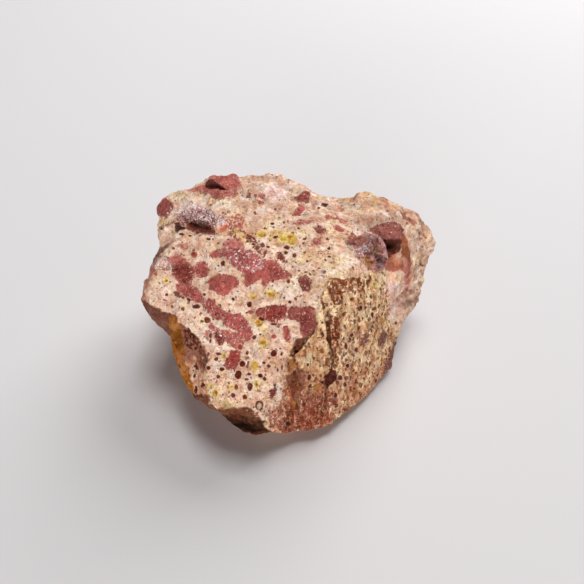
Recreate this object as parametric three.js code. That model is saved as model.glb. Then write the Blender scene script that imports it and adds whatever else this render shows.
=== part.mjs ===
// A broken hand specimen of pisolitic bauxite, in millimetres, +Z up, resting on its flat underside.
//
// The stone is one solid. Its form is given by the corners of its broken faces, listed along the ridges and
// hollows that they stand on. Seen from a core point inside the stone every corner lies in its own direction,
// so the faces between them are the triangles of those directions' convex hull. Long edges are then halved
// until the skin is fine enough, and the new points are moved in and out by fractal noise, as rough rock is.

import * as THREE from "three";
import { ConvexHull } from "three/addons/math/ConvexHull.js";
import { ImprovedNoise } from "three/addons/math/ImprovedNoise.js";

const CORE = new THREE.Vector3(-2, -2, 19);
const LONGEST_EDGE = 3.1;
const COARSE_RELIEF = { height: 0.9, width: 9 };
const FINE_RELIEF = { height: 0.5, width: 4 };
const RELIEF_STARTS_ABOVE_BASE = 3;

// Corners as [x, y, z]. +X is to the right of someone who faces the broken front, and +Y leads away from
// them. The names say which ridge, hollow or face a group of corners stands on.
const CORNERS = {
  crest: [
    [-38.5, 26, 31.5], [-36.5, 27.5, 34], [-33, 26.5, 37], [-28.5, 22.5, 40], [-24.5, 24, 43],
    [-22, 23.5, 45], [-14, 21, 46], [-8, 21.5, 46], [-1, 22, 45], [5, 19.5, 42.5], [10, 18.5, 41],
    [14.5, 19, 40.5], [17.5, 19, 41.5], [20.5, 19, 41], [26, 18.5, 40], [30, 18, 38], [34.5, 18, 35.5],
    [36.5, 17.5, 32], [39.5, 15.5, 28],
  ],
  rightEdge: [
    [40, 16.5, 24], [38, 14.5, 20], [38, 14, 15], [38, 12.5, 11], [35, 9, 7], [31, 5, 4], [29.5, -1, 3],
    [27.5, -8, 1.5], [23.5, -12.5, 1],
  ],
  keel: [
    [20, -17.4, 1.5], [15.5, -22.5, 2.5], [10, -26.8, 3], [6, -28.6, 3.5], [-1.5, -30.5, 4.2],
    [-5.5, -30.3, 5.3], [-8.4, -31.8, 6.4], [-12.4, -31.1, 7.6],
  ],
  lowerLeftEdge: [
    [-16.8, -29.6, 10.7], [-20.8, -27.7, 12], [-24.4, -25, 12], [-27.5, -20, 13], [-29.5, -15.5, 16],
    [-31.5, -10, 19], [-36, -6.5, 20], [-38.5, -3.5, 22],
  ],
  upperLeftEdge: [
    [-39, -2.5, 24.5], [-38.5, 0, 27], [-37.5, 3, 28], [-37, 7, 29], [-36, 12.5, 29], [-37.5, 20, 29],
  ],
  slabRim: [
    [-32.5, -8.5, 26], [-28, -11.5, 28], [-25, -15.5, 27], [-22, -18, 27], [-20.5, -19.5, 25.5],
    [-20.4, -22.6, 20.5], [-18.9, -27.1, 19],
  ],
  lip: [[-18.8, -29, 16.5], [-17.3, -30, 17.3], [-11.8, -30.3, 18.3], [-7.9, -31.9, 17], [-4.9, -31.2, 9]],
  arris: [
    [5, -18, 37], [5.5, -19, 35], [4.5, -20, 33], [1, -21.5, 30], [-1, -22, 26.5], [-1.5, -23, 23.5],
    [-1.5, -25.8, 16.8], [-2, -28.2, 10.6],
  ],
  shoulder: [[8, -12.4, 41], [13.5, -11, 39.5], [18, -7.5, 37.5], [23, -4, 34.5]],
  frontRightEdge: [[24, -5, 30], [24.5, -4, 25], [24.5, -3.5, 20], [27.5, -2.5, 13], [29, 0, 5]],
  frontFace: [
    [5, -18.5, 26], [9, -16.5, 33], [12, -18, 22], [18, -12, 26], [6, -25.3, 10.4], [14, -20.5, 10.8],
    [22, -11, 12],
  ],
  slab: [
    [-34.5, 4, 31], [-35.5, -3, 29.5], [-26.5, -0.5, 31.5], [-16, -7.5, 34], [-13, -17.5, 29],
    [-6, -9.3, 37.4], [0.6, -10.8, 39.5],
  ],
  grooveLip: [
    [-33.5, 10.5, 31], [-30.5, 10, 34.5], [-26, 9, 36], [-21, 6, 38], [-15.5, 2.5, 39.5], [-10, 0, 40.5],
    [-0.5, -0.5, 41.8], [4, -7.6, 41.3],
  ],
  grooveBottom: [[-31, 14.5, 33.5], [-26, 13.5, 34.5], [-21.5, 9.5, 36.5]],
  grooveBank: [[-29.5, 15.5, 36], [-23.5, 12, 38.5], [-18.5, 7.5, 40]],
  mound: [[-26.5, 17.5, 40.5], [-19, 10.5, 43], [-24, 20.5, 41.5], [-18, 18, 44.5]],
  top: [[-6.5, 9, 45], [7, 7.5, 43], [17, 9.5, 41.5], [26.5, 12.5, 39.5], [2, 3.5, 44]],
  chamfer: [[10, -1, 42.5], [12, -5.5, 41.5], [13, 2.5, 41.5], [19.5, 6, 38], [23, 6, 37], [24, 2, 35]],
  cavityRim: [[23.5, 9, 38.5], [27.5, 9.5, 36.5], [29.5, 8, 33], [31.5, 7, 28], [32.5, 7, 20]],
  cavity: [[27, 12, 29], [29.5, 10.5, 24], [30, 7, 17]],
  rightLobe: [[34, 15, 35], [36.5, 14, 30], [35, 10.5, 25], [35, 9.5, 15]],
  knob: [[-35, 23, 34], [-34.5, 19.5, 33], [-31.8, 18.9, 35.5], [-30.2, 21.8, 38.2]],
  backFace: [
    [-36.5, 27, 22], [-30, 29.5, 28], [-22, 28, 35], [-15, 30.5, 21], [-9, 28.5, 36], [-1, 31, 29],
    [5, 28.5, 33], [9, 30, 18], [16, 26.5, 32], [22, 28, 25], [29, 24.5, 30], [31, 25.5, 16], [37, 20, 23],
    [-36, 22, 15], [-29, 27.5, 12], [-21, 28.5, 7], [-8, 29.5, 9], [-5, 26.5, 2.5], [5, 28, 5], [15, 27, 8],
    [19, 24, 2.5], [28, 22, 6], [35, 17, 9],
  ],
  underside: [
    [-36, 2, 18.5], [-34.5, 12, 14.5], [-31, 3, 12], [-29, 18, 9.5], [-25, -8, 8.5], [-23, 6, 5],
    [-22, 21, 4], [-16.5, -20.5, 5.5], [-18, -8, 3],
  ],
  base: [
    [-5.5, -20.5, 0], [-11.5, -13, 0], [-15, -2, 0], [-13.5, 8, 0], [-9, 16.5, 0], [0, 20, 0], [10, 21.5, 0],
    [19, 16, 0], [23, 8, 0], [24, -1, 0], [20, -10, 0], [11, -18, 0], [3, -21.5, 0],
  ],
};

// The corners' faces, as triangles of corner numbers turned outwards.
function facesBetween(corners) {
  const numberOf = new Map();
  corners.forEach((corner, number) => numberOf.set(corner.clone().sub(CORE).normalize(), number));
  return new ConvexHull().setFromPoints([...numberOf.keys()]).faces.map((face) => {
    const first = face.edge;
    return [first, first.next, first.next.next].map((edge) => numberOf.get(edge.head().point));
  });
}

// Halves every edge over the limit, again and again, and returns the finer triangles. New points join the
// list of points.
function refine(points, faces, limit) {
  const middles = new Map();
  const middleOf = (a, b) => {
    if (points[a].distanceTo(points[b]) <= limit) return undefined;
    const key = Math.min(a, b) + "-" + Math.max(a, b);
    if (!middles.has(key)) {
      middles.set(key, points.length);
      points.push(points[a].clone().lerp(points[b], 0.5));
    }
    return middles.get(key);
  };
  const finer = faces.flatMap(([a, b, c]) => {
    const [ab, bc, ca] = [middleOf(a, b), middleOf(b, c), middleOf(c, a)];
    const halved = [ab, bc, ca].filter((middle) => middle !== undefined).length;
    if (halved === 0) return [[a, b, c]];
    if (halved === 3) return [[a, ab, ca], [ab, b, bc], [ca, bc, c], [ab, bc, ca]];
    // Turned so that the one halved edge, or the one whole edge, is the first.
    const turns = [[a, b, c, ab, bc, ca], [b, c, a, bc, ca, ab], [c, a, b, ca, ab, bc]];
    if (halved === 1) {
      const [p, q, r, pq] = turns.find((turn) => turn[3] !== undefined);
      return [[p, pq, r], [pq, q, r]];
    }
    const [p, q, r, , qr, rp] = turns.find((turn) => turn[3] === undefined);
    const split = points[p].distanceTo(points[qr]) < points[q].distanceTo(points[rp]);
    const quad = split ? [[p, q, qr], [p, qr, rp]] : [[p, q, rp], [q, qr, rp]];
    return [...quad, [rp, qr, r]];
  });
  return finer.length === faces.length ? finer : refine(points, finer, limit);
}

// How far the rough surface stands out at a point, fading to nothing towards the flat base.
function reliefAt(point) {
  const noise = new ImprovedNoise();
  const sum = [COARSE_RELIEF, FINE_RELIEF].reduce(
    (height, relief) =>
      height +
      relief.height * noise.noise(point.x / relief.width, point.y / relief.width, point.z / relief.width),
    0,
  );
  return sum * THREE.MathUtils.clamp(point.z / RELIEF_STARTS_ABOVE_BASE, 0, 1);
}

function stoneGeometry() {
  const points = Object.values(CORNERS).flat().map((corner) => new THREE.Vector3(...corner));
  const faces = refine(points, facesBetween(points), LONGEST_EDGE);
  const geometry = new THREE.BufferGeometry().setFromPoints(points).setIndex(faces.flat());
  geometry.computeVertexNormals();
  const normals = geometry.getAttribute("normal");
  points.forEach((point, number) => {
    const outwards = new THREE.Vector3().fromBufferAttribute(normals, number);
    point.addScaledVector(outwards, reliefAt(point));
  });
  geometry.setFromPoints(points);
  geometry.computeVertexNormals();
  return geometry;
}

// Moves a shape sideways until the middle of its box stands over the origin. Its height stays as it is.
function centreOverOrigin(geometry) {
  geometry.computeBoundingBox();
  const middle = geometry.boundingBox.getCenter(new THREE.Vector3());
  return geometry.translate(-middle.x, -middle.y, 0);
}

const stone = new THREE.Mesh(
  centreOverOrigin(stoneGeometry()),
  new THREE.MeshStandardMaterial({ color: 0xc99f86, roughness: 0.8, metalness: 0 }),
);
stone.name = "bauxite_stone";

const group = new THREE.Group();
group.add(stone);

export default group;
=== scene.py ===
"""The looks of a broken hand specimen of pisolitic bauxite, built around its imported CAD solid.

The CAD skin is refined, rounded and given the relief of broken rock. Marks that can be told apart, such as
the red clasts and the larger round grains, are placed by where they show in the photograph, and the sides
that it hides carry scattered ones of the same kinds. Lengths are millimetres until the mesh is made.
"""

import math
from functools import partial

import bpy
import numpy as np
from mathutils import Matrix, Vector, noise
from mathutils.bvhtree import BVHTree


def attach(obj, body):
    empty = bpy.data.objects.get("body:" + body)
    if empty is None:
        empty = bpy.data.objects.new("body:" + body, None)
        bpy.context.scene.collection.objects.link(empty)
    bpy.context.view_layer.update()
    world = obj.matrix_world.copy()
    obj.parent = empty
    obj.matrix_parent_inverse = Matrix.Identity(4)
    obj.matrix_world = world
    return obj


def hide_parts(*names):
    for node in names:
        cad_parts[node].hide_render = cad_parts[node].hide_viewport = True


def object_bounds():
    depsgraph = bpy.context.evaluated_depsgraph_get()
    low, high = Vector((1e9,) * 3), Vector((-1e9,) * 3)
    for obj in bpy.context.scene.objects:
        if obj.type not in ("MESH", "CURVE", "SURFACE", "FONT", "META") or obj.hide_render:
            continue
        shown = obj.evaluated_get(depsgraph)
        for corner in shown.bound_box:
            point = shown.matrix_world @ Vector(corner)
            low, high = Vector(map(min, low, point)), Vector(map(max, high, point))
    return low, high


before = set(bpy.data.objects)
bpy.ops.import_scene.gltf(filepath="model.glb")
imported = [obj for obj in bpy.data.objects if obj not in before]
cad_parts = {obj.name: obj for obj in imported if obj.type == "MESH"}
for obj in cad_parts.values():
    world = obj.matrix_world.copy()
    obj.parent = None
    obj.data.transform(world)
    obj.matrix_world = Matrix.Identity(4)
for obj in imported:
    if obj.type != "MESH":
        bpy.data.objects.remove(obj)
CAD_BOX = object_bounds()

MM = 0.001

# The photograph's camera: its place and its usual distance from the skin are in millimetres.
PHOTO_SIDE = 584
FOCAL_PIXELS = 561
CAMERA_PLACE = np.array([-0.56, -102.66, 127.0])
CAMERA_PITCH = math.radians(45)
TYPICAL_DISTANCE = 148
PIXELS_PER_MM = FOCAL_PIXELS / TYPICAL_DISTANCE

# How fine the skin is: its longest edges in millimetres, from place to place.
FIRST_EDGE = 0.95
HOLLOW_EDGE = 0.45
SHOWN_EDGE = 0.56
MARK_EDGE = 0.4
CRACK_EDGE = 0.26
HIDDEN_EDGE = 0.88
LEFT_AS_IT_IS = 5

# How far around the marks the skin is cut finely: in millimetres for the marks, in pixels for the rest.
NEAR_A_MARK = 0.3
NEAR_A_SINKING = 6
NEAR_A_HOLLOW = 2
NEAR_A_CRACK = 2.6
BARELY_SHOWN = 0.02

# How far above the skin a look towards the camera starts, and how far marks are kept from where they don't
# belong, in millimetres.
CLEAR_OF_THE_SKIN = 0.25
KEPT_OFF = 3

# A distance that stands for no mark at all, and the furthest one that the mesh holds, in millimetres.
NOWHERE_NEAR = 99.0
FURTHEST_HELD = 3

# The rock's relief as waves: height and width (or widths by axis) in millimetres, seed, and whether creased.
BROAD_WAVES = [(0.4, 5, 1, False), (-0.55, 3.4, 7, True), (0.25, 2.2, 2, False)]
ROUGH_WAVES = [(0.24, 1.15, 3, False), (-0.3, 1.5, 8, True), (0.16, 0.65, 4, False)]
UPRIGHT_WAVES = [
    (0.3, (1.5, 1.5, 7), 5, False), (-0.35, (1.1, 1.1, 6), 9, True), (0.16, (0.7, 0.7, 3.2), 6, False),
]
LUMP_WAVES = [(0.45, 3.6, 51, False), (0.3, 1.9, 52, False)]
RELIEF_STARTS_ABOVE_BASE = 0.05
RELIEF_IS_FULL_AT = 2.0

# The purple crystal's facets: width in millimetres, steepness, and how far they stand out in all.
FACET_WIDTH = 2.2
FACET_SLOPE = 0.4
FACET_LIFT = 0.4

# The marks scattered over the hidden sides: how many, and their smallest and largest radius in millimetres.
SEED = 8
WELL_HIDDEN = 0.97
ABOVE_THE_FLOOR = 0.5
SCATTERED_CLASTS = (130, 1.1, 5.5)
SCATTERED_GRAINS = (420, 0.35, 0.95)
TRIES_FOR_EACH = 4
SMALL_ONES_MORE_COMMON = 1.6
SUNK_SHARE = 0.35
ROOM_SHARE = 0.9
BLOCK_SIDES = 9

# Narrow clefts that the skin closes: middle and reach in millimetres.
CLOSED_CLEFTS = {"upper_cleft": ((33.5, 15.5, 32), 6), "lower_cleft": ((33, 13, 24.5), 6)}
CLOSING_ROUNDS = 90

# The map that the colours are baked to: where it unfolds the skin from, and the share of its side in use.
MAP_MIDDLE = np.array([-2.5, -2.9, 19])
MAP_SHARE = 0.97


def linear(red, green, blue):
    """A colour as a screen shows it, 0 to 255, as Blender's linear values."""
    shares = np.array([red, green, blue]) / 255
    return np.where(shares <= 0.04045, shares / 12.92, ((shares + 0.055) / 1.055) ** 2.4)


CREAM = linear(252, 219, 193)
PINK = linear(226, 182, 166)
TAN = linear(222, 184, 138)
PALE_YELLOW = linear(232, 208, 150)
STAIN_YELLOW = linear(244, 222, 158)
BRICK = linear(190, 97, 88)
LIGHT_BRICK = linear(198, 112, 100)
PINK_RED = linear(196, 124, 110)
MAROON = linear(136, 58, 48)
BAR_RED = linear(166, 70, 60)
PLUM = linear(136, 66, 56)
# The cracks' dark brown: partly their own brown and partly painted shade in the clefts.
CRACK_BROWN_AND_SHADE = linear(84, 40, 24)
GRAIN_MAROON = linear(122, 54, 42)
GRAIN_PURPLE = linear(124, 68, 64)
PALE_RIM = linear(240, 214, 186)
RUST = linear(142, 80, 54)
OCHRE = linear(174, 104, 26)
MUSTARD = linear(248, 209, 112)
MAUVE = linear(136, 80, 62)
GREY_CREAM = linear(226, 208, 180)


# ---------------------------------------------------------------- seeing the stone as the photograph does

VIEW_AHEAD = np.array([0, math.cos(CAMERA_PITCH), -math.sin(CAMERA_PITCH)])
VIEW_UP = np.array([0, math.sin(CAMERA_PITCH), math.cos(CAMERA_PITCH)])


def in_photo(points):
    """Where points show in the photograph: their columns and rows, in pixels."""
    offset = points - CAMERA_PLACE
    distance = offset @ VIEW_AHEAD
    middle = PHOTO_SIDE / 2
    columns = middle + FOCAL_PIXELS * offset[:, 0] / distance
    rows = middle - FOCAL_PIXELS * (offset @ VIEW_UP) / distance
    return np.stack([columns, rows], 1)


# ---------------------------------------------------------------- meshes as plain arrays


def cad_skin(node):
    """The CAD node's points, in millimetres, and its triangles. Corners that it holds twice are merged."""
    mesh = node.data
    mesh.calc_loop_triangles()
    places = np.array([vertex.co for vertex in mesh.vertices]) / MM
    faces = np.array([triangle.vertices for triangle in mesh.loop_triangles])
    points, index = np.unique(places.round(3), axis=0, return_inverse=True)
    return points, index.reshape(-1)[faces]


def edges_of(faces):
    """The mesh's edges, once each, and for each face the numbers of its three edges."""
    sides = np.sort(faces[:, [[0, 1], [1, 2], [2, 0]]], axis=2).reshape(-1, 2)
    span = faces.max() + 1
    keys, first, number = np.unique(sides[:, 0] * span + sides[:, 1], return_index=True, return_inverse=True)
    return sides[first], number.reshape(-1, 3)


def split_once(points, faces, limits):
    """Halves each edge that is longer than the limit at its ends, and cuts the faces to fit."""
    edges, edge_of = edges_of(faces)
    lengths = np.linalg.norm(points[edges[:, 0], :3] - points[edges[:, 1], :3], axis=1)
    long = lengths > limits[edges].mean(1)
    middle = np.full(len(edges), -1)
    middle[long] = len(points) + np.arange(long.sum())
    points = np.vstack([points, points[edges[long]].mean(1)])
    middles = middle[edge_of]
    count = (middles >= 0).sum(1)
    # Faces are turned so that their one halved edge, or their one whole edge, comes first.
    odd_one = np.where(count == 1, np.argmax(middles >= 0, axis=1), np.argmin(middles >= 0, axis=1))
    turn = (odd_one[:, None] + np.arange(3)) % 3
    a, b, c = np.take_along_axis(faces, turn, axis=1).T
    ab, bc, ca = np.take_along_axis(middles, turn, axis=1).T
    one, two, three = count == 1, count == 2, count == 3
    whole = faces[count == 0]
    halves = [np.stack([a, ab, c], 1)[one], np.stack([ab, b, c], 1)[one]]
    corners = [np.stack([ca, bc, c], 1)[two]]
    from_a = np.linalg.norm((points[a] - points[bc])[:, :3], axis=1)
    from_b = np.linalg.norm((points[b] - points[ca])[:, :3], axis=1)
    nearer = from_a < from_b
    quads = [
        np.stack([a, b, bc], 1)[two & nearer],
        np.stack([a, bc, ca], 1)[two & nearer],
        np.stack([a, b, ca], 1)[two & ~nearer],
        np.stack([b, bc, ca], 1)[two & ~nearer],
    ]
    pieces = ((a, ab, ca), (ab, b, bc), (ca, bc, c), (ab, bc, ca))
    quarters = [np.stack(piece, 1)[three] for piece in pieces]
    return points, np.vstack([whole, *halves, *corners, *quads, *quarters]), bool(long.any())


def refined(points, faces, limit_of):
    """Halves long edges, again and again. limit_of gives the longest edge allowed at each point."""
    going = True
    while going:
        points, faces, going = split_once(points, faces, limit_of(points))
    return points, faces


def gathered(index, values, count):
    """Sums of values, row by row, for each index."""
    return np.stack([np.bincount(index, column, count) for column in values.T], 1)


def smoothed(values, faces, rounds, share=0.5):
    """values at the points, each moved again and again towards the mean of its neighbours' values."""
    edges, _ = edges_of(faces)
    ends = np.concatenate([edges[:, 0], edges[:, 1]])
    others = np.concatenate([edges[:, 1], edges[:, 0]])
    count = np.bincount(ends, minlength=len(values))[:, None]
    flat = values.reshape(len(values), -1).astype(float)
    for _ in range(rounds):
        mean = gathered(ends, flat[others], len(values)) / count
        flat = flat + share * (mean - flat)
    return flat.reshape(values.shape)


def normals_of(points, faces):
    """The skin's outward directions at its points."""
    corners = points[faces]
    across = np.cross(corners[:, 1] - corners[:, 0], corners[:, 2] - corners[:, 0])
    sums = sum(gathered(faces[:, corner], across, len(points)) for corner in range(3))
    return sums / np.maximum(np.linalg.norm(sums, axis=1), 1e-12)[:, None]


def ripple(points, width, seed=0):
    """Smooth noise, about -1 to 1, whose humps are width millimetres across or, by axis, widths."""
    places = points / np.array(width) + np.array([17.3, 31.7, 5.9]) * (seed + 1)
    return np.array([noise.noise(place) for place in places.tolist()])


def waves(points, kinds):
    """The sum of the waves in a list of them at points."""
    total = np.zeros(len(points))
    for height, width, seed, creased in kinds:
        wave = ripple(points, width, seed)
        total += height * (np.abs(wave) if creased else wave)
    return total


def warped(points, width, finer_width, seeds):
    """Two smooth noises, each with finer noise on it, as columns that bend places in the photograph."""
    columns = [ripple(points, width, seed) + 0.5 * ripple(points, finer_width, seed + 2) for seed in seeds]
    return np.stack(columns, 1)


def shaky(points):
    """Where points show in the photograph, shaken by a pixel or so, which makes straight lines ragged."""
    return in_photo(points) + 1.3 * np.stack([ripple(points, 1.1, seed) for seed in (33, 34)], 1)


def step(value, low, high):
    """0 below low, 1 above high, and a smooth rise between. It falls if low is above high."""
    share = np.clip((value - low) / (high - low), 0, 1)
    return share * share * (3 - 2 * share)


# ---------------------------------------------------------------- distances to marks, in pixels


def side_distance(places, start, end):
    """How far places lie from the straight line between two ends."""
    side = end - start
    offset = places - start
    along = np.clip(offset @ side / (side @ side), 0, 1)
    return np.linalg.norm(offset - along[:, None] * side, axis=1)


def outline_depth(places, outline):
    """How far places lie outside an outline, in pixels. It is negative inside."""
    corners = np.array(outline, float)
    following = np.roll(corners, -1, axis=0)
    nearest = np.full(len(places), np.inf)
    inside = np.zeros(len(places), bool)
    for start, end in zip(corners, following):
        nearest = np.minimum(nearest, side_distance(places, start, end))
        (x0, y0), (x1, y1) = start, end
        crosses = (y0 > places[:, 1]) != (y1 > places[:, 1])
        meets = x0 + (places[:, 1] - y0) * (x1 - x0) / np.where(y1 == y0, 1, y1 - y0)
        inside ^= crosses & (places[:, 0] < meets)
    return np.where(inside, -nearest, nearest)


def oval_depth(places, column, row, across, tall):
    """How far places lie outside an oval that is across wide and tall high, in pixels."""
    offset = places - (column, row)
    stretch = np.hypot(offset[:, 0] / (across / 2), offset[:, 1] / (tall / 2))
    return (stretch - 1) * min(across, tall) / 2


def line_depth(places, line, width):
    """How far places lie outside a line of that width, in pixels."""
    corners = np.array(line, float)
    nearest = np.full(len(places), np.inf)
    for start, end in zip(corners[:-1], corners[1:]):
        nearest = np.minimum(nearest, side_distance(places, start, end))
    return nearest - width / 2


# ---------------------------------------------------------------- what the photograph shows, in its pixels

# The streaky right half of the broken front.
STREAKY_FACE = [
    (316, 312), (323, 290), (326, 277), (352, 277), (369, 273), (387, 271), (392, 300), (389, 313),
    (395, 327), (404, 341), (404, 356), (398, 372), (384, 390), (356, 420), (315, 440), (283, 445),
    (286, 391), (287, 365), (288, 354), (298, 341), (313, 327),
]

# The far part of the top, up to the crest.
FAR_TOP = [
    (180, 160), (440, 180), (450, 300), (400, 330), (392, 262), (376, 234), (350, 225), (300, 221),
    (250, 208), (215, 203), (180, 190),
]
# A shallow oval scar on the slab.
PINK_OVAL = [(177, 244), (181, 242), (186, 244), (188, 248), (184, 249.5), (179, 247)]
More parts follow.
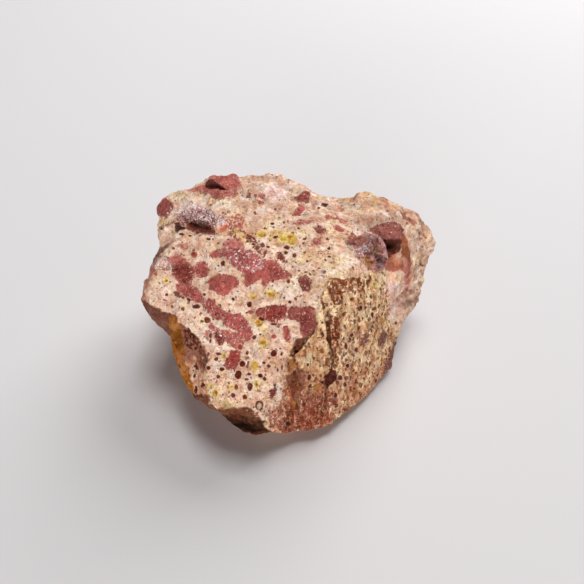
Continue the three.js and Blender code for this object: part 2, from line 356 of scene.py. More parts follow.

# Red and purple clasts, and painted shade in two hollows: colour, how far they stand out in millimetres, and
# outline.
CLASTS = {
    "top_left_block": (linear(198, 112, 100), 0.3, [
        (186, 190), (195, 186), (203, 184), (208, 178), (213, 174), (219, 171), (236, 171), (239, 180),
        (241, 187), (236, 190), (229, 190), (228, 196), (223, 199), (216, 198), (211, 194), (207, 191),
        (196, 190),
    ]),
    "top_left_tail": (PINK_RED, 0.0, [(228, 191), (236, 190), (238, 194), (234, 198), (229, 197)]),
    "left_knob": (linear(164, 84, 76), 0.3, [
        (160, 201), (165, 198), (170, 200), (174, 205), (172, 210), (169, 214), (165, 217), (158, 216),
        (154, 212), (156, 205),
    ]),
    "groove_slab": (linear(156, 84, 68), -0.1, [
        (186, 226), (190, 222), (197, 218), (202, 221), (208, 224), (213, 229), (217, 234), (211, 235),
        (203, 234), (195, 231), (188, 228),
    ]),
    "upper_scrap": (linear(206, 124, 112), 0.1, [
        (222, 245), (226, 240), (231, 238), (239, 238), (243, 243), (243, 247), (236, 249), (228, 247),
    ]),
    "long_diagonal": (BRICK, 0.15, [
        (209, 253), (214, 250), (222, 249), (232, 248), (243, 248), (252, 251), (258, 255), (264, 260),
        (272, 260), (279, 264), (282, 269), (287, 272), (292, 276), (285, 278), (277, 280), (268, 282),
        (266, 286), (262, 284), (260, 279), (256, 281), (252, 284), (246, 287), (245, 281), (244, 273),
        (241, 271), (236, 268), (231, 264), (226, 258), (219, 257), (212, 258),
    ]),
    "nodule_halo": (LIGHT_BRICK, 0.0, [
        (165, 258), (172, 256), (180, 255), (186, 260), (190, 264), (195, 270), (193, 276), (191, 283),
        (190, 286), (180, 285), (176, 279), (173, 273), (171, 265),
    ]),
    "maroon_nodule": (MAROON, 0.35, [
        (172, 267), (176, 264), (181, 265), (186, 263), (191, 267), (194, 271), (192, 277), (190, 282),
        (186, 285), (181, 283), (177, 278), (173, 272),
    ]),
    "rounded_neighbour": (BRICK, 0.1, [
        (196, 262), (202, 261), (206, 264), (208.5, 270), (206, 275), (200, 277), (196, 275), (194, 269),
    ]),
    "notched_block": (BRICK, 0.2, [
        (207, 282), (210, 278), (214, 276), (219, 274), (226, 275), (232, 276), (236, 278), (238, 284),
        (237, 288), (232, 289), (228, 293), (223, 295.5), (217, 294), (214, 290), (210, 288),
    ]),
    "left_band": (BRICK, 0.05, [
        (175, 283), (180, 286), (190, 286), (197, 287), (199, 291), (203, 298), (206, 303), (195, 301.5),
        (190, 299), (186, 297), (181, 293), (176, 289),
    ]),
    "left_band_end": (RUST, 0.1, [(174, 292), (179, 291), (181, 295), (176, 297)]),
    "middle_band": (BRICK, 0.1, [
        (202, 305), (205, 301), (210, 299), (215, 300), (216, 304), (219, 308), (225, 311), (232, 314),
        (240, 314), (244, 317), (248, 323), (252, 332), (251, 338), (246, 341), (241, 336), (237, 331),
        (231, 329), (226, 326), (222, 319), (214, 318), (210, 315), (206, 311),
    ]),
    "band_tail": (LIGHT_BRICK, 0.0, [
        (210, 321), (213, 326), (219, 330), (226, 330), (236, 334), (244, 341), (243, 348), (238, 350),
        (232, 346), (226, 341), (221, 331), (212, 330), (207, 326),
    ]),
    "brick_bar": (BAR_RED, 0.3, [
        (255, 311), (260, 308), (268, 306), (275, 305), (285, 306), (286.5, 312), (286, 318), (278, 319),
        (270, 321), (262, 319), (256, 316),
    ]),
    "brick_bar_end": (linear(158, 82, 72), 0.35, [
        (287.5, 309), (294, 307), (300, 308), (309, 306), (314, 309), (315, 316), (317, 325), (312, 332),
        (303, 338), (300, 332), (299, 322), (293, 320), (288, 318),
    ]),
    "thin_sliver": (BAR_RED, 0.0, [(270, 321), (277, 322), (282, 324), (280, 325.5), (273, 324)]),
    "lone_plum": (PLUM, 0.3, [
        (298, 279), (300, 276), (305, 275), (309, 277), (311.5, 282), (310, 288), (308, 291.5), (302, 290),
        (299.5, 285),
    ]),
    "small_slant": (MAROON, 0.0, [
        (276, 254), (280, 252), (284, 256), (286.5, 262), (282, 261), (278, 258),
    ]),
    "upright_brick": (BRICK, 0.15, [
        (282, 328), (286, 325.5), (289, 328), (290, 339), (289, 342), (285, 341), (283, 335),
    ]),
    "oval_brick": (MAROON, 0.15, [
        (214, 332), (218, 331), (223, 334), (225.5, 340), (221, 345.5), (217, 342), (214, 337),
    ]),
    "oval_left": (PINK_RED, 0.0, [(205, 331), (209, 330), (211, 335), (208, 339), (205, 336)]),
    "lower_square": (BAR_RED, 0.15, [
        (230, 351), (236, 350), (241, 352), (240, 358), (238, 364), (234, 369), (227, 369), (223, 365),
        (226, 360), (229, 356),
    ]),
    "low_red": (PLUM, 0.0, [(269, 398), (270, 391), (274, 387), (277, 388), (276, 393), (273, 399)]),
    "shoulder_red": (LIGHT_BRICK, 0.05, [(311, 244), (314, 239), (321, 237), (320, 242), (317, 244.5)]),
    "shoulder_plum": (PLUM, 0.1, [(314, 228), (318, 226), (325, 227), (327, 230), (324, 233), (318, 232)]),
    "shoulder_right": (LIGHT_BRICK, 0.0, [(332, 225), (338, 226), (345, 229), (344, 231.5), (337, 231)]),
    "far_streak_left": (LIGHT_BRICK, 0.0, [(325, 216), (333, 216.5), (334, 219.5), (327, 219)]),
    "far_streak_right": (LIGHT_BRICK, 0.0, [(335, 216), (342, 218), (348, 219.5), (346, 223), (340, 221)]),
    "long_thin_streak": (PINK_RED, 0.0, [
        (285, 220), (291, 221.5), (300, 219), (325, 220.5), (312, 222), (298, 224),
    ]),
    "crest_clast": (MAROON, 0.2, [
        (293.5, 198), (298, 195.5), (303, 192), (309, 192.5), (310, 199), (308, 203), (302, 203.5),
        (297, 201),
    ]),
    "crest_clast_low": (BRICK, 0.1, [
        (293, 213.5), (297, 209), (299, 206), (305, 207), (304, 211), (301, 213.5),
    ]),
    "far_half_disc": (BRICK, 0.0, [(257, 200.5), (264, 201), (263, 203), (260, 203.5)]),
    "far_slit": (PINK_RED, 0.0, [(255, 195), (265, 194.5), (265, 197), (256, 197)]),
    "far_triangle": (RUST, 0.0, [(248.5, 189), (251, 197), (246.5, 197)]),
    "purple_crystal": (linear(172, 100, 84), 0.5, [
        (346, 239), (351, 235), (359, 236), (366, 233), (372, 234), (378, 237), (382, 242), (385, 250),
        (387, 258), (386, 264), (383, 269), (378, 272), (371, 270), (366, 267), (362, 262), (358, 257),
        (354, 250), (350, 245),
    ]),
    "crystal_dark": (linear(112, 60, 54), 0.2, [
        (373, 257), (379, 255), (385, 258), (384, 266), (379, 271), (374, 267),
    ]),
    "crystal_pale": (linear(170, 120, 110), 0.4, [
        (360, 237), (366, 233), (372, 235), (376, 241), (368, 243),
    ]),
    "crystal_amber": (linear(168, 108, 36), 0.1, [
        (360, 258), (366, 256), (371, 261), (370, 269), (364, 265),
    ]),
    "crystal_amber_top": (linear(128, 76, 44), 0.25, [
        (368, 249), (374, 245), (378, 252), (372, 258), (367, 256),
    ]),
    "crystal_rim": (linear(188, 136, 130), 0.4, [
        (373, 233), (379, 237), (385, 246), (388, 258), (386, 262), (383, 252), (377, 241), (371, 236),
    ]),
    # Painted shade: dark red in the pit beside the top left block.
    "top_left_pit_painted_shade": (linear(106, 54, 46), -0.1, [
        (204, 184), (208, 179), (213, 180.5), (218, 184.5), (225, 188), (228, 190.5), (220, 190.5),
        (212, 188.5),
    ]),
    "groove_slab_shade": (linear(118, 72, 56), -0.1, [
        (188, 224), (192, 220), (198, 217), (205, 221), (210, 226), (201, 227), (194, 226),
    ]),
    "right_edge_mauve": (MAUVE, 0.2, [
        (397, 340), (400, 350), (398, 358), (393, 366), (388, 373), (383, 375), (386, 362), (390, 350),
        (393, 343),
    ]),
    "streaky_mauve": (MAUVE, 0.1, [(361, 345), (363, 337), (366, 334), (370, 335), (368, 341), (365, 346)]),
    "streaky_plum": (MAUVE, 0.1, [(379, 346), (380, 338), (384, 331), (388, 334), (388, 340), (384, 345)]),
    "cavity_roof": (linear(154, 90, 80), 0.0, [
        (368, 230), (375, 226), (382, 224), (392, 222), (401, 225), (404, 230), (403, 238), (396, 239),
        (388, 240), (382, 239), (378, 235), (372, 233),
    ]),
}

# Round grains that can be told apart: column and row in pixels, then their width and height in millimetres.
DARK_GRAINS = [
    (249, 304, 1.35, 1.6), (222.6, 262.8, 1.35, 1.6), (188.5, 299.5, 0.9, 1.3), (246, 312.5, 0.6, 0.6),
    (273.7, 353.5, 1.7, 1.8), (238, 374.5, 2.0, 2.4), (242, 364, 1.5, 1.6), (222, 369, 1.5, 1.0),
    (208.5, 368, 1.1, 1.1), (210, 341, 0.6, 1.0), (195, 366.5, 1.3, 2.1), (193.8, 376, 1.0, 1.3),
    (194.6, 390, 1.1, 2.1), (260.5, 376, 1.2, 1.3), (265, 379.5, 0.9, 1.1), (181.5, 234.3, 1.3, 0.7),
    (208.5, 239, 1.2, 0.65), (253, 243.2, 1.1, 0.6), (247, 241, 0.8, 0.6), (190, 235.5, 1.0, 0.5),
    (218, 377, 1.2, 1.0), (348, 366, 1.1, 1.1), (343, 358, 0.7, 1.0), (345, 339, 0.7, 1.2),
    (309.5, 377.5, 1.1, 1.6), (308, 365, 0.7, 1.0), (272, 223, 0.9, 0.7), (283.5, 221.5, 0.7, 0.5),
    (329, 247.5, 0.9, 0.9), (318.5, 266.5, 0.8, 0.6), (307, 260.3, 0.6, 0.6), (295.5, 262, 0.6, 0.6),
    (299, 270, 0.6, 0.5), (314, 274, 0.6, 0.6), (260, 334.8, 0.7, 0.6), (267, 333.5, 0.5, 0.4),
    (273, 324, 1.6, 0.6), (260.5, 318.5, 1.5, 1.0), (329, 256, 1.0, 0.5), (325.5, 259.5, 0.7, 0.4),
    (283.5, 297.8, 0.8, 0.7), (193, 250, 0.7, 0.5), (217, 242.5, 0.5, 0.5), (217.5, 265.5, 0.6, 0.6),
    (166.5, 294, 0.8, 0.8), (202, 385, 1.0, 1.4), (358, 351, 0.8, 1.2), (373, 315, 0.8, 1.4),
    (372, 304, 0.5, 1.0), (362.5, 309, 0.8, 1.1), (395.3, 323, 0.6, 0.9), (268, 246.5, 0.8, 0.6),
    (319, 207, 0.8, 0.5), (204, 294.2, 0.9, 0.8),
]
RED_GRAINS = [
    (193.6, 254.3, 1.7, 1.5), (273.5, 336.7, 1.6, 1.2), (250.5, 312, 1.6, 1.0), (233.5, 341, 1.0, 0.6),
    (270.5, 257.7, 1.0, 0.5), (163, 300, 1.0, 0.6), (240, 347, 1.4, 1.5), (311, 280, 0.6, 0.6),
    (275, 208, 0.8, 0.7), (155, 273.3, 1.0, 0.9), (200.5, 314, 1.0, 0.9), (264, 316, 0.9, 0.8),
]
PURPLE_GRAINS = [
    (195.8, 306.2, 2.0, 1.3), (262.3, 244.8, 1.2, 1.2), (286.5, 247, 1.6, 1.1), (285.5, 251.7, 1.2, 0.8),
    (294, 254.5, 1.2, 1.3), (250, 387, 1.4, 2.2), (233, 395.5, 1.2, 1.2), (254, 338, 1.3, 1.2),
    (249, 374, 1.1, 0.8), (217.5, 354, 1.4, 0.7), (233, 298.5, 1.0, 0.9), (264, 363, 0.9, 0.9),
    (268.7, 366.3, 1.1, 0.9), (288.8, 302.3, 1.1, 0.8), (246.5, 379.5, 1.0, 0.6), (353.5, 336, 1.0, 1.1),
    (275.5, 236.5, 1.6, 0.8), (304, 302, 0.8, 0.5), (281, 355, 0.6, 1.0), (278, 370, 0.5, 1.2),
    (282.5, 367, 0.5, 1.6), (347, 347, 0.8, 1.7), (341, 379, 1.2, 1.2), (346, 385, 1.0, 1.3),
    (336, 396, 1.2, 1.6), (325, 204.5, 1.9, 1.0), (209.5, 336, 0.9, 1.4),
]
BROWN_RINGS = [
    (206.8, 320, 1.8, 1.7), (288, 281.2, 1.1, 1.1), (216, 359, 1.1, 1.1), (236, 387, 1.1, 1.5),
    (247, 353, 0.9, 1.3), (294.8, 299, 0.8, 0.8), (304.8, 238.5, 1.1, 0.7), (245, 397, 1.4, 1.3),
    (260, 406, 2.5, 2.8), (306, 272, 1.0, 0.5), (171, 306, 0.7, 0.8), (183, 297.5, 0.9, 0.7),
    (287.5, 287, 0.7, 0.5),
]
CREAM_CORES = [(260, 406.3, 1.6, 1.9)]
YELLOW_POCKETS = [
    (291.5, 238.5, 2.9, 2.9), (283, 238, 2.6, 1.9), (261.5, 233.8, 2.7, 1.6), (270.3, 294, 2.2, 1.7),
    (165.6, 280, 1.3, 1.3), (258.6, 322.5, 2.1, 2.1), (262.6, 342.4, 2.0, 1.7), (254.8, 365.5, 1.8, 2.4),
    (214, 393.5, 1.5, 2.2), (252, 296.6, 1.4, 1.2), (223, 356.3, 1.1, 1.3), (235.5, 230, 1.0, 0.9),
    (209.5, 387, 1.1, 1.4), (376, 284.6, 1.0, 1.5), (263.5, 330.5, 0.9, 0.8), (257, 385, 1.0, 1.4),
    (278.3, 231.5, 0.8, 1.0), (231, 387, 1.0, 1.0), (243, 236, 1.2, 0.9),
]

# Holes and clefts: how deep in millimetres, over how many millimetres their walls fall, and outline.
HOLLOWS = {
    "top_left_pit": (1.7, 1.4, [
        (204, 183), (209, 178.5), (213, 180), (218, 184), (224, 188), (228, 191), (221, 191), (213, 189),
        (206, 187),
    ]),
    "groove_hole": (1.8, 0.8, [
        (175, 222), (179, 221), (179, 226), (187, 228), (178, 230), (176, 234), (174, 229),
    ]),
    "groove_slab_dip": (0.4, 1.0, [
        (186, 226), (190, 222), (197, 218), (202, 221), (208, 224), (213, 229), (213, 233), (203, 232),
        (195, 230),
    ]),
    "far_slit": (1.3, 0.7, [(242, 211.5), (245, 211), (248.5, 213), (246, 214), (243, 213)]),
    "left_crack_mouth": (2.5, 0.9, [(157, 226), (162, 225), (160, 230), (158, 229)]),
    "under_the_bar": (1.3, 0.9, [
        (316, 326), (313, 335), (306, 342), (299, 350), (292, 356), (292, 349), (295, 343), (296, 337),
        (302, 336), (307, 330),
    ]),
    "crack_window": (1.3, 0.8, [
        (330, 370), (336, 371), (337, 376), (333, 383), (328, 389), (325, 389), (322, 382),
    ]),
    "cavity_hole": (2.6, 2.0, [
        (382, 240), (390, 239), (397, 238), (402, 239), (401, 246), (398, 252), (393, 255), (388, 259),
        (386, 254),
    ]),
    "pink_oval": (0.45, 0.6, PINK_OVAL),
    "bar_left_pit": (0.8, 0.6, [(258, 317), (263, 316), (266, 319), (262, 321)]),
    "lobe_foot": (1.2, 1.2, [(403, 301), (412, 299), (420, 295), (414, 303), (407, 305)]),
}

# Cracks: how deep in millimetres, how wide in pixels, and the line.
CRACKS = {
    "front_crack_top": (0.5, 1.3, [(328, 312), (328.5, 330)]),
    "front_crack": (0.7, 2.2, [(328.5, 330), (330.5, 345), (333, 356), (331, 371)]),
    "window_line": (0.5, 1.0, [(331, 369), (328.5, 380), (326, 389)]),
    "crack_foot": (0.45, 1.4, [(327, 388), (325, 400), (321, 411)]),
    # The cleft under the end of the brick bar, whose dark line is painted shade.
    "under_bar_shade_line": (0.8, 1.6, [(317.5, 324), (313, 334), (305, 343), (298, 351), (293, 356)]),
    "left_crack": (0.4, 0.7, [(160, 227), (167, 224.5), (175, 221.5)]),
    "shoulder_slit": (0.4, 0.7, [(371.5, 276), (370, 287)]),
    "nodule_crack": (0.3, 0.8, [(217, 277), (219, 283), (221, 288)]),
}

# Knobs on the far crest: how high in millimetres, then their ovals' column, row, width and height in pixels.
KNOBS = {"far_bump": (0.9, (366, 197, 20, 14)), "far_bump_left": (0.7, (346, 201, 11, 9))}

# Stains, patches, painted shade and highlights: colour, how strong, how soft its edge is in pixels, and
# outline.
PATCHES = {
    "far_top": (linear(226, 197, 174), 0.95, 9, FAR_TOP),
    "mound_cream": (linear(255, 234, 208), 0.85, 5, [
        (176, 194), (205, 197), (238, 203), (256, 226), (236, 214), (212, 207), (196, 204), (178, 208),
    ]),
    "lower_slab": (linear(244, 204, 178), 0.5, 8, [
        (188, 356), (225, 350), (262, 346), (290, 352), (284, 438), (258, 435), (206, 402),
    ]),
    "near_top": (linear(236, 206, 178), 0.8, 9, [
        (250, 208), (300, 221), (350, 225), (350, 240), (384, 274), (322, 278), (316, 305), (280, 250),
        (240, 232),
    ]),
    "slab_pale": (linear(255, 226, 202), 0.75, 12, [
        (150, 262), (210, 246), (290, 262), (312, 306), (290, 350), (215, 345), (150, 308),
    ]),
    "white_pink": (linear(240, 208, 204), 0.8, 4, [
        (264, 187), (274, 183), (286, 188), (286, 197), (274, 199), (265, 196),
    ]),
    "streaky_tan": (linear(255, 224, 180), 0.95, 4, STREAKY_FACE),
    "middle_tan": (linear(216, 170, 124), 0.7, 4, [
        (300, 350), (316, 332), (327, 330), (331, 372), (322, 390), (308, 392), (304, 366),
    ]),
    "shoulder_cream": (PALE_YELLOW, 0.35, 8, [
        (295, 262), (325, 250), (350, 262), (345, 276), (326, 280), (318, 300),
    ]),
    "foot_peach": (linear(214, 156, 122), 0.85, 12, [
        (284, 384), (320, 380), (398, 360), (384, 396), (350, 420), (310, 442), (280, 448),
    ]),
    "foot_red": (linear(158, 90, 74), 1.0, 8, [
        (284, 390), (300, 390), (318, 392), (322, 388), (338, 390), (342, 400), (334, 412), (330, 424),
        (310, 440), (276, 446), (278, 425),
    ]),
    "foot_mauve": (linear(126, 76, 68), 0.9, 2, [
        (296, 386), (312, 388), (314, 402), (306, 414), (296, 412), (294, 398),
    ]),
    "foot_pink": (linear(196, 124, 108), 0.9, 2, [
        (304, 416), (326, 412), (334, 416), (322, 434), (300, 442),
    ]),
    "keel_red": (linear(180, 112, 90), 0.85, 6, [
        (262, 412), (272, 404), (286, 400), (286, 445), (272, 445), (270, 430),
    ]),
    "foot_dark_spot": (linear(76, 36, 36), 0.95, 1, [
        (285, 422), (289, 420), (292, 425), (290, 428), (286, 426),
    ]),
    "mauve_column": (MAUVE, 0.9, 2, [
        (294, 369), (300, 366), (306, 371), (305, 380), (306, 388), (301, 394), (300, 410), (292, 412),
        (291, 396), (288, 388), (288, 376),
    ]),
    "orange_strip": (linear(204, 120, 86), 0.95, 2.5, [
        (284, 385), (290, 388), (296, 402), (293, 420), (285, 423), (281, 405),
    ]),
    "ochre_corner": (OCHRE, 0.85, 2, [
        (287, 360), (297, 358), (298, 364), (293, 371), (288, 376), (286, 368),
    ]),
    "rusty_top": (linear(158, 92, 62), 0.95, 2.0, [
        (326, 279), (331, 276), (340, 277), (350, 279), (358, 276), (367, 279), (366, 290), (360, 296),
        (352, 290), (346, 296), (347, 306), (336, 307), (331, 300), (328, 292),
    ]),
    "rust_by_the_crack": (linear(140, 72, 42), 1.0, 1.5, [
        (330, 316), (341, 320), (340, 340), (337, 352), (340, 364), (336, 370), (331, 366), (331, 345),
    ]),
    # Painted shade in the hole where the front crack widens.
    "crack_window_painted_shade": (linear(98, 52, 44), 1.0, 0.8, [
        (331, 369), (337, 371), (338, 376), (333, 383), (327, 389.5), (322, 382), (325, 376),
    ]),
    "rust_foot": (linear(104, 58, 38), 0.9, 2, [(318, 400), (330, 398), (330, 415), (318, 416)]),
    # Painted shade on the undercut face below the end of the brick bar.
    "wedge_painted_shade": (linear(116, 72, 54), 0.95, 1.2, [
        (317, 323), (315, 331), (306, 341), (299, 349), (293, 356), (292, 349), (296, 340), (303, 338),
        (311, 331),
    ]),
    "groove_red": (linear(192, 112, 98), 0.9, 3, [
        (207, 213), (222, 212), (238, 214), (246, 222), (244, 232), (232, 236), (216, 235), (208, 226),
    ]),
    "left_frost": (linear(192, 118, 112), 0.85, 2, [
        (154, 258), (162, 254), (173, 258), (174, 268), (162, 272), (153, 268),
    ]),
    "left_pink": (linear(232, 184, 168), 0.8, 4, [
        (143, 270), (152, 264), (160, 270), (158, 280), (146, 282),
    ]),
    "maroon_trail": (linear(140, 76, 66), 0.95, 2.5, [
        (230, 227), (246, 230), (258, 240), (272, 254), (262, 256), (246, 246), (232, 236),
    ]),
    "frosted_red": (linear(204, 150, 144), 0.9, 2.5, [
        (174, 216), (184, 208), (196, 204), (206, 208), (216, 216), (224, 222), (214, 228), (202, 219),
        (190, 222), (180, 226),
    ]),
    "frosted_maroon": (linear(156, 86, 78), 0.85, 3, [
        (173, 212), (184, 206), (196, 206), (210, 209), (224, 216), (228, 226), (212, 227), (200, 218),
        (190, 222), (178, 228),
    ]),
    "groove_orange": (linear(222, 108, 72), 0.9, 3, [
        (216, 227), (221, 225), (227, 227), (226, 233), (219, 234), (215, 231),
    ]),
    "pink_oval": (linear(206, 142, 122), 0.9, 1.2, PINK_OVAL),
    # Painted shade in the hole at the groove's left end.
    "groove_hole_painted_shade": (linear(92, 50, 42), 0.95, 1.0, [
        (174, 222), (179, 220), (181, 226), (188, 227), (180, 231), (176, 235),
    ]),
    "yellow_band": (MUSTARD, 0.55, 2, [
        (236, 232), (243, 233), (246, 243), (252, 246), (250, 250), (244, 244), (237, 238),
    ]),
    "yellow_by_bowl": (MUSTARD, 0.7, 2, [
        (255, 232), (262, 230), (276, 230), (288, 232), (288, 241), (276, 238), (262, 237),
    ]),
    "knob_yellow": (PALE_YELLOW, 0.6, 3, [(171, 190), (180, 189), (185, 195), (181, 201), (172, 196)]),
    "far_bump": (linear(222, 190, 132), 0.9, 2.5, [
        (354, 204), (357, 194), (363, 189), (371, 190), (377, 198), (376, 205), (366, 207),
    ]),
    "far_bump_left": (PALE_YELLOW, 0.5, 3, [(341, 199), (347, 196), (350, 202), (345, 206)]),
    "pebble": (GREY_CREAM, 1.0, 0.8, [
        (213, 320), (216, 317.5), (222, 319), (223.5, 325), (220, 329), (215, 328),
    ]),
    "yellow_core_halo": (PALE_YELLOW, 0.8, 3, [(256, 336), (263, 334), (270, 340), (268, 348), (258, 349)]),
    "left_wall_red": (PLUM, 0.7, 3, [
        (140, 300), (144, 282), (150, 262), (160, 252), (163, 256), (154, 268), (148, 284), (146, 300),
    ]),
    "left_wall_dark": (linear(112, 66, 52), 0.85, 1.2, [
        (148, 258), (158, 249), (168, 243), (172, 244), (162, 253), (153, 262),
    ]),
    # The brown of the left flank's steep side under the rim is partly its own brown and partly painted
    # shade.
    "under_rim": (linear(112, 66, 54), 0.95, 1.2, [
        (130, 296), (142, 299), (155, 306), (162, 311), (177, 316), (181, 322), (192, 334), (200, 341),
        (190, 350), (175, 342), (160, 340), (140, 325),
    ]),
    "mauve_panel": (linear(158, 104, 84), 0.95, 1.5, [
        (176, 318), (184, 326), (192, 334), (205, 347), (206, 362), (205, 374), (197, 372), (186, 366),
        (180, 350),
    ]),
    "panel_brown": (linear(96, 44, 30), 1.0, 2.5, [
        (182, 330), (188, 329), (195, 336), (205, 346), (202, 352), (192, 350), (186, 352), (182, 342),
    ]),
    "panel_mauve_edge": (linear(122, 74, 68), 0.9, 2, [
        (197, 349), (205, 350), (206, 364), (205, 374), (200, 370),
    ]),
    "panel_dark_spot": (linear(70, 28, 20), 1.0, 1.2, [
        (189, 333), (192, 333), (196, 338), (194, 340), (189, 337),
    ]),
    "orange_panel": (linear(206, 144, 104), 0.85, 3, [
        (184, 362), (196, 360), (206, 376), (207, 398), (196, 402), (188, 390),
    ]),
    "orange_spot": (OCHRE, 0.6, 2, [(199, 379), (203, 378), (205, 387), (200, 389)]),
    "ochre_strip": (linear(172, 106, 36), 1.0, 2, [
        (169, 319), (178, 317), (180, 330), (182, 347), (185, 360), (189, 371), (192, 385), (196, 398),
        (188, 404), (166, 390), (162, 350), (170, 334),
    ]),
    "ochre_strip_brown": (linear(128, 76, 28), 0.9, 2, [
        (171, 332), (179, 331), (181, 346), (180, 352), (174, 350),
    ]),
    "ochre_strip_red": (linear(176, 88, 44), 0.8, 1.5, [(172, 317), (178, 316), (178, 322), (175, 320)]),
    # The underside's dark browns, here and below, are partly the rock's own brown and partly painted shade,
    # as it faces down.
    "underside": (linear(64, 38, 26), 1.0, 2.5, [
        (180, 396), (191, 394), (203, 394.5), (209, 403), (216, 408.5), (227, 408), (234, 406.5),
        (244, 409), (252, 411.5), (257, 417.5), (263, 421), (267, 426), (271, 434), (272, 450), (190, 450),
        (170, 420),
    ]),
    "underside_light": (linear(96, 58, 40), 0.8, 2, [
        (200, 403), (212, 410), (228, 412), (246, 415), (256, 421), (263, 428), (250, 427), (236, 421),
        (220, 417), (206, 412),
    ]),
    "underside_shade": (linear(122, 80, 58), 0.9, 2.5, [
        (192, 398), (203, 396), (216, 407), (234, 405.5), (244, 408), (254, 413), (261, 421), (252, 419),
        (238, 415), (218, 416), (206, 411), (196, 405),
    ]),
    # Painted shade: a near-black line low on the underside, near the floor.
    "underside_painted_shade_line": (linear(24, 13, 9), 0.95, 1.5, [
        (218, 419), (234, 423), (246, 425), (256, 428), (264, 431), (254, 433), (242, 431), (228, 427),
    ]),
    "underside_foot": (linear(84, 48, 34), 0.9, 1.5, [
        (236, 430), (248, 433), (268, 431), (270, 440), (244, 440),
    ]),
    # Painted highlight: a pale yellow band along the lit top edge of the lip.
    "lip_painted_highlight": (PALE_YELLOW, 0.5, 2, [
        (208, 396), (225, 402), (240, 400), (248, 404), (232, 408), (216, 406),
    ]),
    "cavity_wall": (linear(152, 84, 52), 0.95, 1.2, [
        (402, 230), (407, 233), (410, 240), (409, 250), (413, 264), (411, 270), (405, 262), (400, 252),
        (402, 241),
    ]),
    # Painted shade in the cavity's deep hole.
    "cavity_painted_shade": (linear(92, 52, 42), 1.0, 1.2, [
        (381, 239), (390, 238), (402, 238), (402, 247), (398, 253), (392, 257), (388, 260), (385, 253),
    ]),
    "cavity_floor": (linear(172, 96, 72), 0.95, 1.2, [
        (387, 262), (391, 256), (397, 252), (404, 256), (410, 261), (413, 266), (410, 272), (396, 272),
        (387, 270),
    ]),
    # Painted light: a pale orange glow on the cavity's floor.
    "cavity_painted_light": (linear(222, 146, 104), 0.8, 3, [
        (391, 256), (396, 252), (400, 256), (399, 263), (394, 264),
    ]),
    "gully_red": (LIGHT_BRICK, 0.7, 2.5, [(404, 270), (412, 268), (412, 280), (408, 290), (405, 283)]),
    "gully_peach": (linear(248, 204, 174), 0.9, 1.5, [
        (388, 271), (403, 272), (405, 284), (398, 286), (388, 284),
    ]),
    "gully_pink": (linear(250, 206, 190), 0.9, 3, [
        (387, 284), (402, 286), (405, 298), (400, 312), (388, 316),
    ]),
    # Painted shade under the overhanging foot of the right lobe.
    "lobe_foot_painted_shade": (linear(130, 86, 66), 0.7, 3, [
        (402, 300), (412, 298), (421, 294), (418, 304), (406, 308),
    ]),
    "gully_white": (linear(252, 230, 222), 0.9, 1.5, [
        (388, 285), (394, 283), (402, 284), (400, 291), (389, 292),
    ]),
    "gully_edge_red": (linear(176, 100, 92), 0.8, 1.5, [
        (404, 262), (409, 260), (413, 268), (411, 280), (408, 291), (405, 286),
    ]),
    "lobe_streak_upper": (linear(176, 112, 92), 0.8, 1.2, [
        (391, 204), (396, 205), (404, 211), (404, 214), (397, 211),
    ]),
    "lobe_streak_lower": (linear(150, 86, 70), 0.9, 1.2, [
        (403, 212), (407, 212), (413, 218), (417, 225), (413, 226), (408, 221),
    ]),
    "lobe_edge_brown": (linear(160, 108, 92), 0.8, 1.2, [
        (416, 230), (419, 231), (424, 238), (424, 243), (420, 239),
    ]),
    "lobe_yellow": (linear(240, 214, 168), 0.7, 2, [
        (412, 255), (418, 256), (420, 264), (415, 268), (412, 262),
    ]),
    "lobe_brown": (linear(196, 132, 104), 0.7, 1.5, [
        (383, 201), (388, 199), (393, 203), (390, 208), (385, 207),
    ]),
    "lobe_cream": (linear(240, 206, 184), 0.8, 2, [
        (424, 240), (432, 236), (435, 243), (430, 248), (425, 246),
    ]),
    "ledge_cream": (PALE_YELLOW, 0.7, 1.5, [(158, 222), (165, 217), (174, 220), (160, 225)]),
    "streaky_yellow": (MUSTARD, 0.7, 2, [(372, 282), (379, 280), (380, 288), (374, 290)]),
    "streaky_cream": (CREAM, 0.7, 2, [(352, 286), (358, 287), (357, 297), (353, 296)]),
    "right_red": (linear(176, 116, 90), 0.7, 3, [(426, 258), (434, 248), (438, 252), (428, 266)]),
    "foot_cream": (CREAM, 0.7, 2, [(332, 408), (336, 407), (335, 414), (331, 414)]),
    "window_lip": (CREAM, 0.7, 2, [(332, 388), (340, 384), (342, 389), (334, 392)]),
}

# Mottling of the pale ground: colour, how strong, width (or widths by axis) in millimetres, and the noise
# that it starts at and is full at.
MOTTLES = [
    (linear(255, 238, 226), 0.65, 2.2, 0.05, 0.4),
    (linear(248, 220, 168), 0.5, 2.9, 0.15, 0.45),
    (linear(226, 178, 156), 0.55, 2.6, 0.0, 0.4),
]
STREAKY_MOTTLES = [
    (linear(206, 146, 108), 0.6, (2, 2, 4), 0.1, 0.45),
    (linear(255, 234, 194), 0.6, (2.6, 2.6, 5), 0.1, 0.4),
    (linear(150, 100, 78), 0.5, (1.3, 1.3, 2.4), 0.3, 0.5),
]
FAR_MOTTLES = [
    (linear(186, 136, 112), 0.55, (3.2, 2.2, 1.6), 0.18, 0.45),
    (linear(218, 178, 154), 0.45, (4.5, 3.0, 2.0), 0.1, 0.35),
]

# The drifts of colour on the hidden sides: colour, and the noise that each starts at and is full at.
DRIFTS = [(PINK, -0.1, 0.5), (TAN, 0.0, 0.35), (PINK_RED, 0.3, 0.55), (RUST, 0.42, 0.6), (OCHRE, 0.45, 0.62)]

# The patches that show only here and there within their outlines.
BROKEN_UP = {
    "rusty_top", "rust_by_the_crack", "foot_red", "orange_strip", "groove_red", "maroon_trail",
    "frosted_maroon", "left_frost", "panel_brown", "underside_light", "foot_mauve", "foot_pink", "keel_red",
    "rust_foot",
}

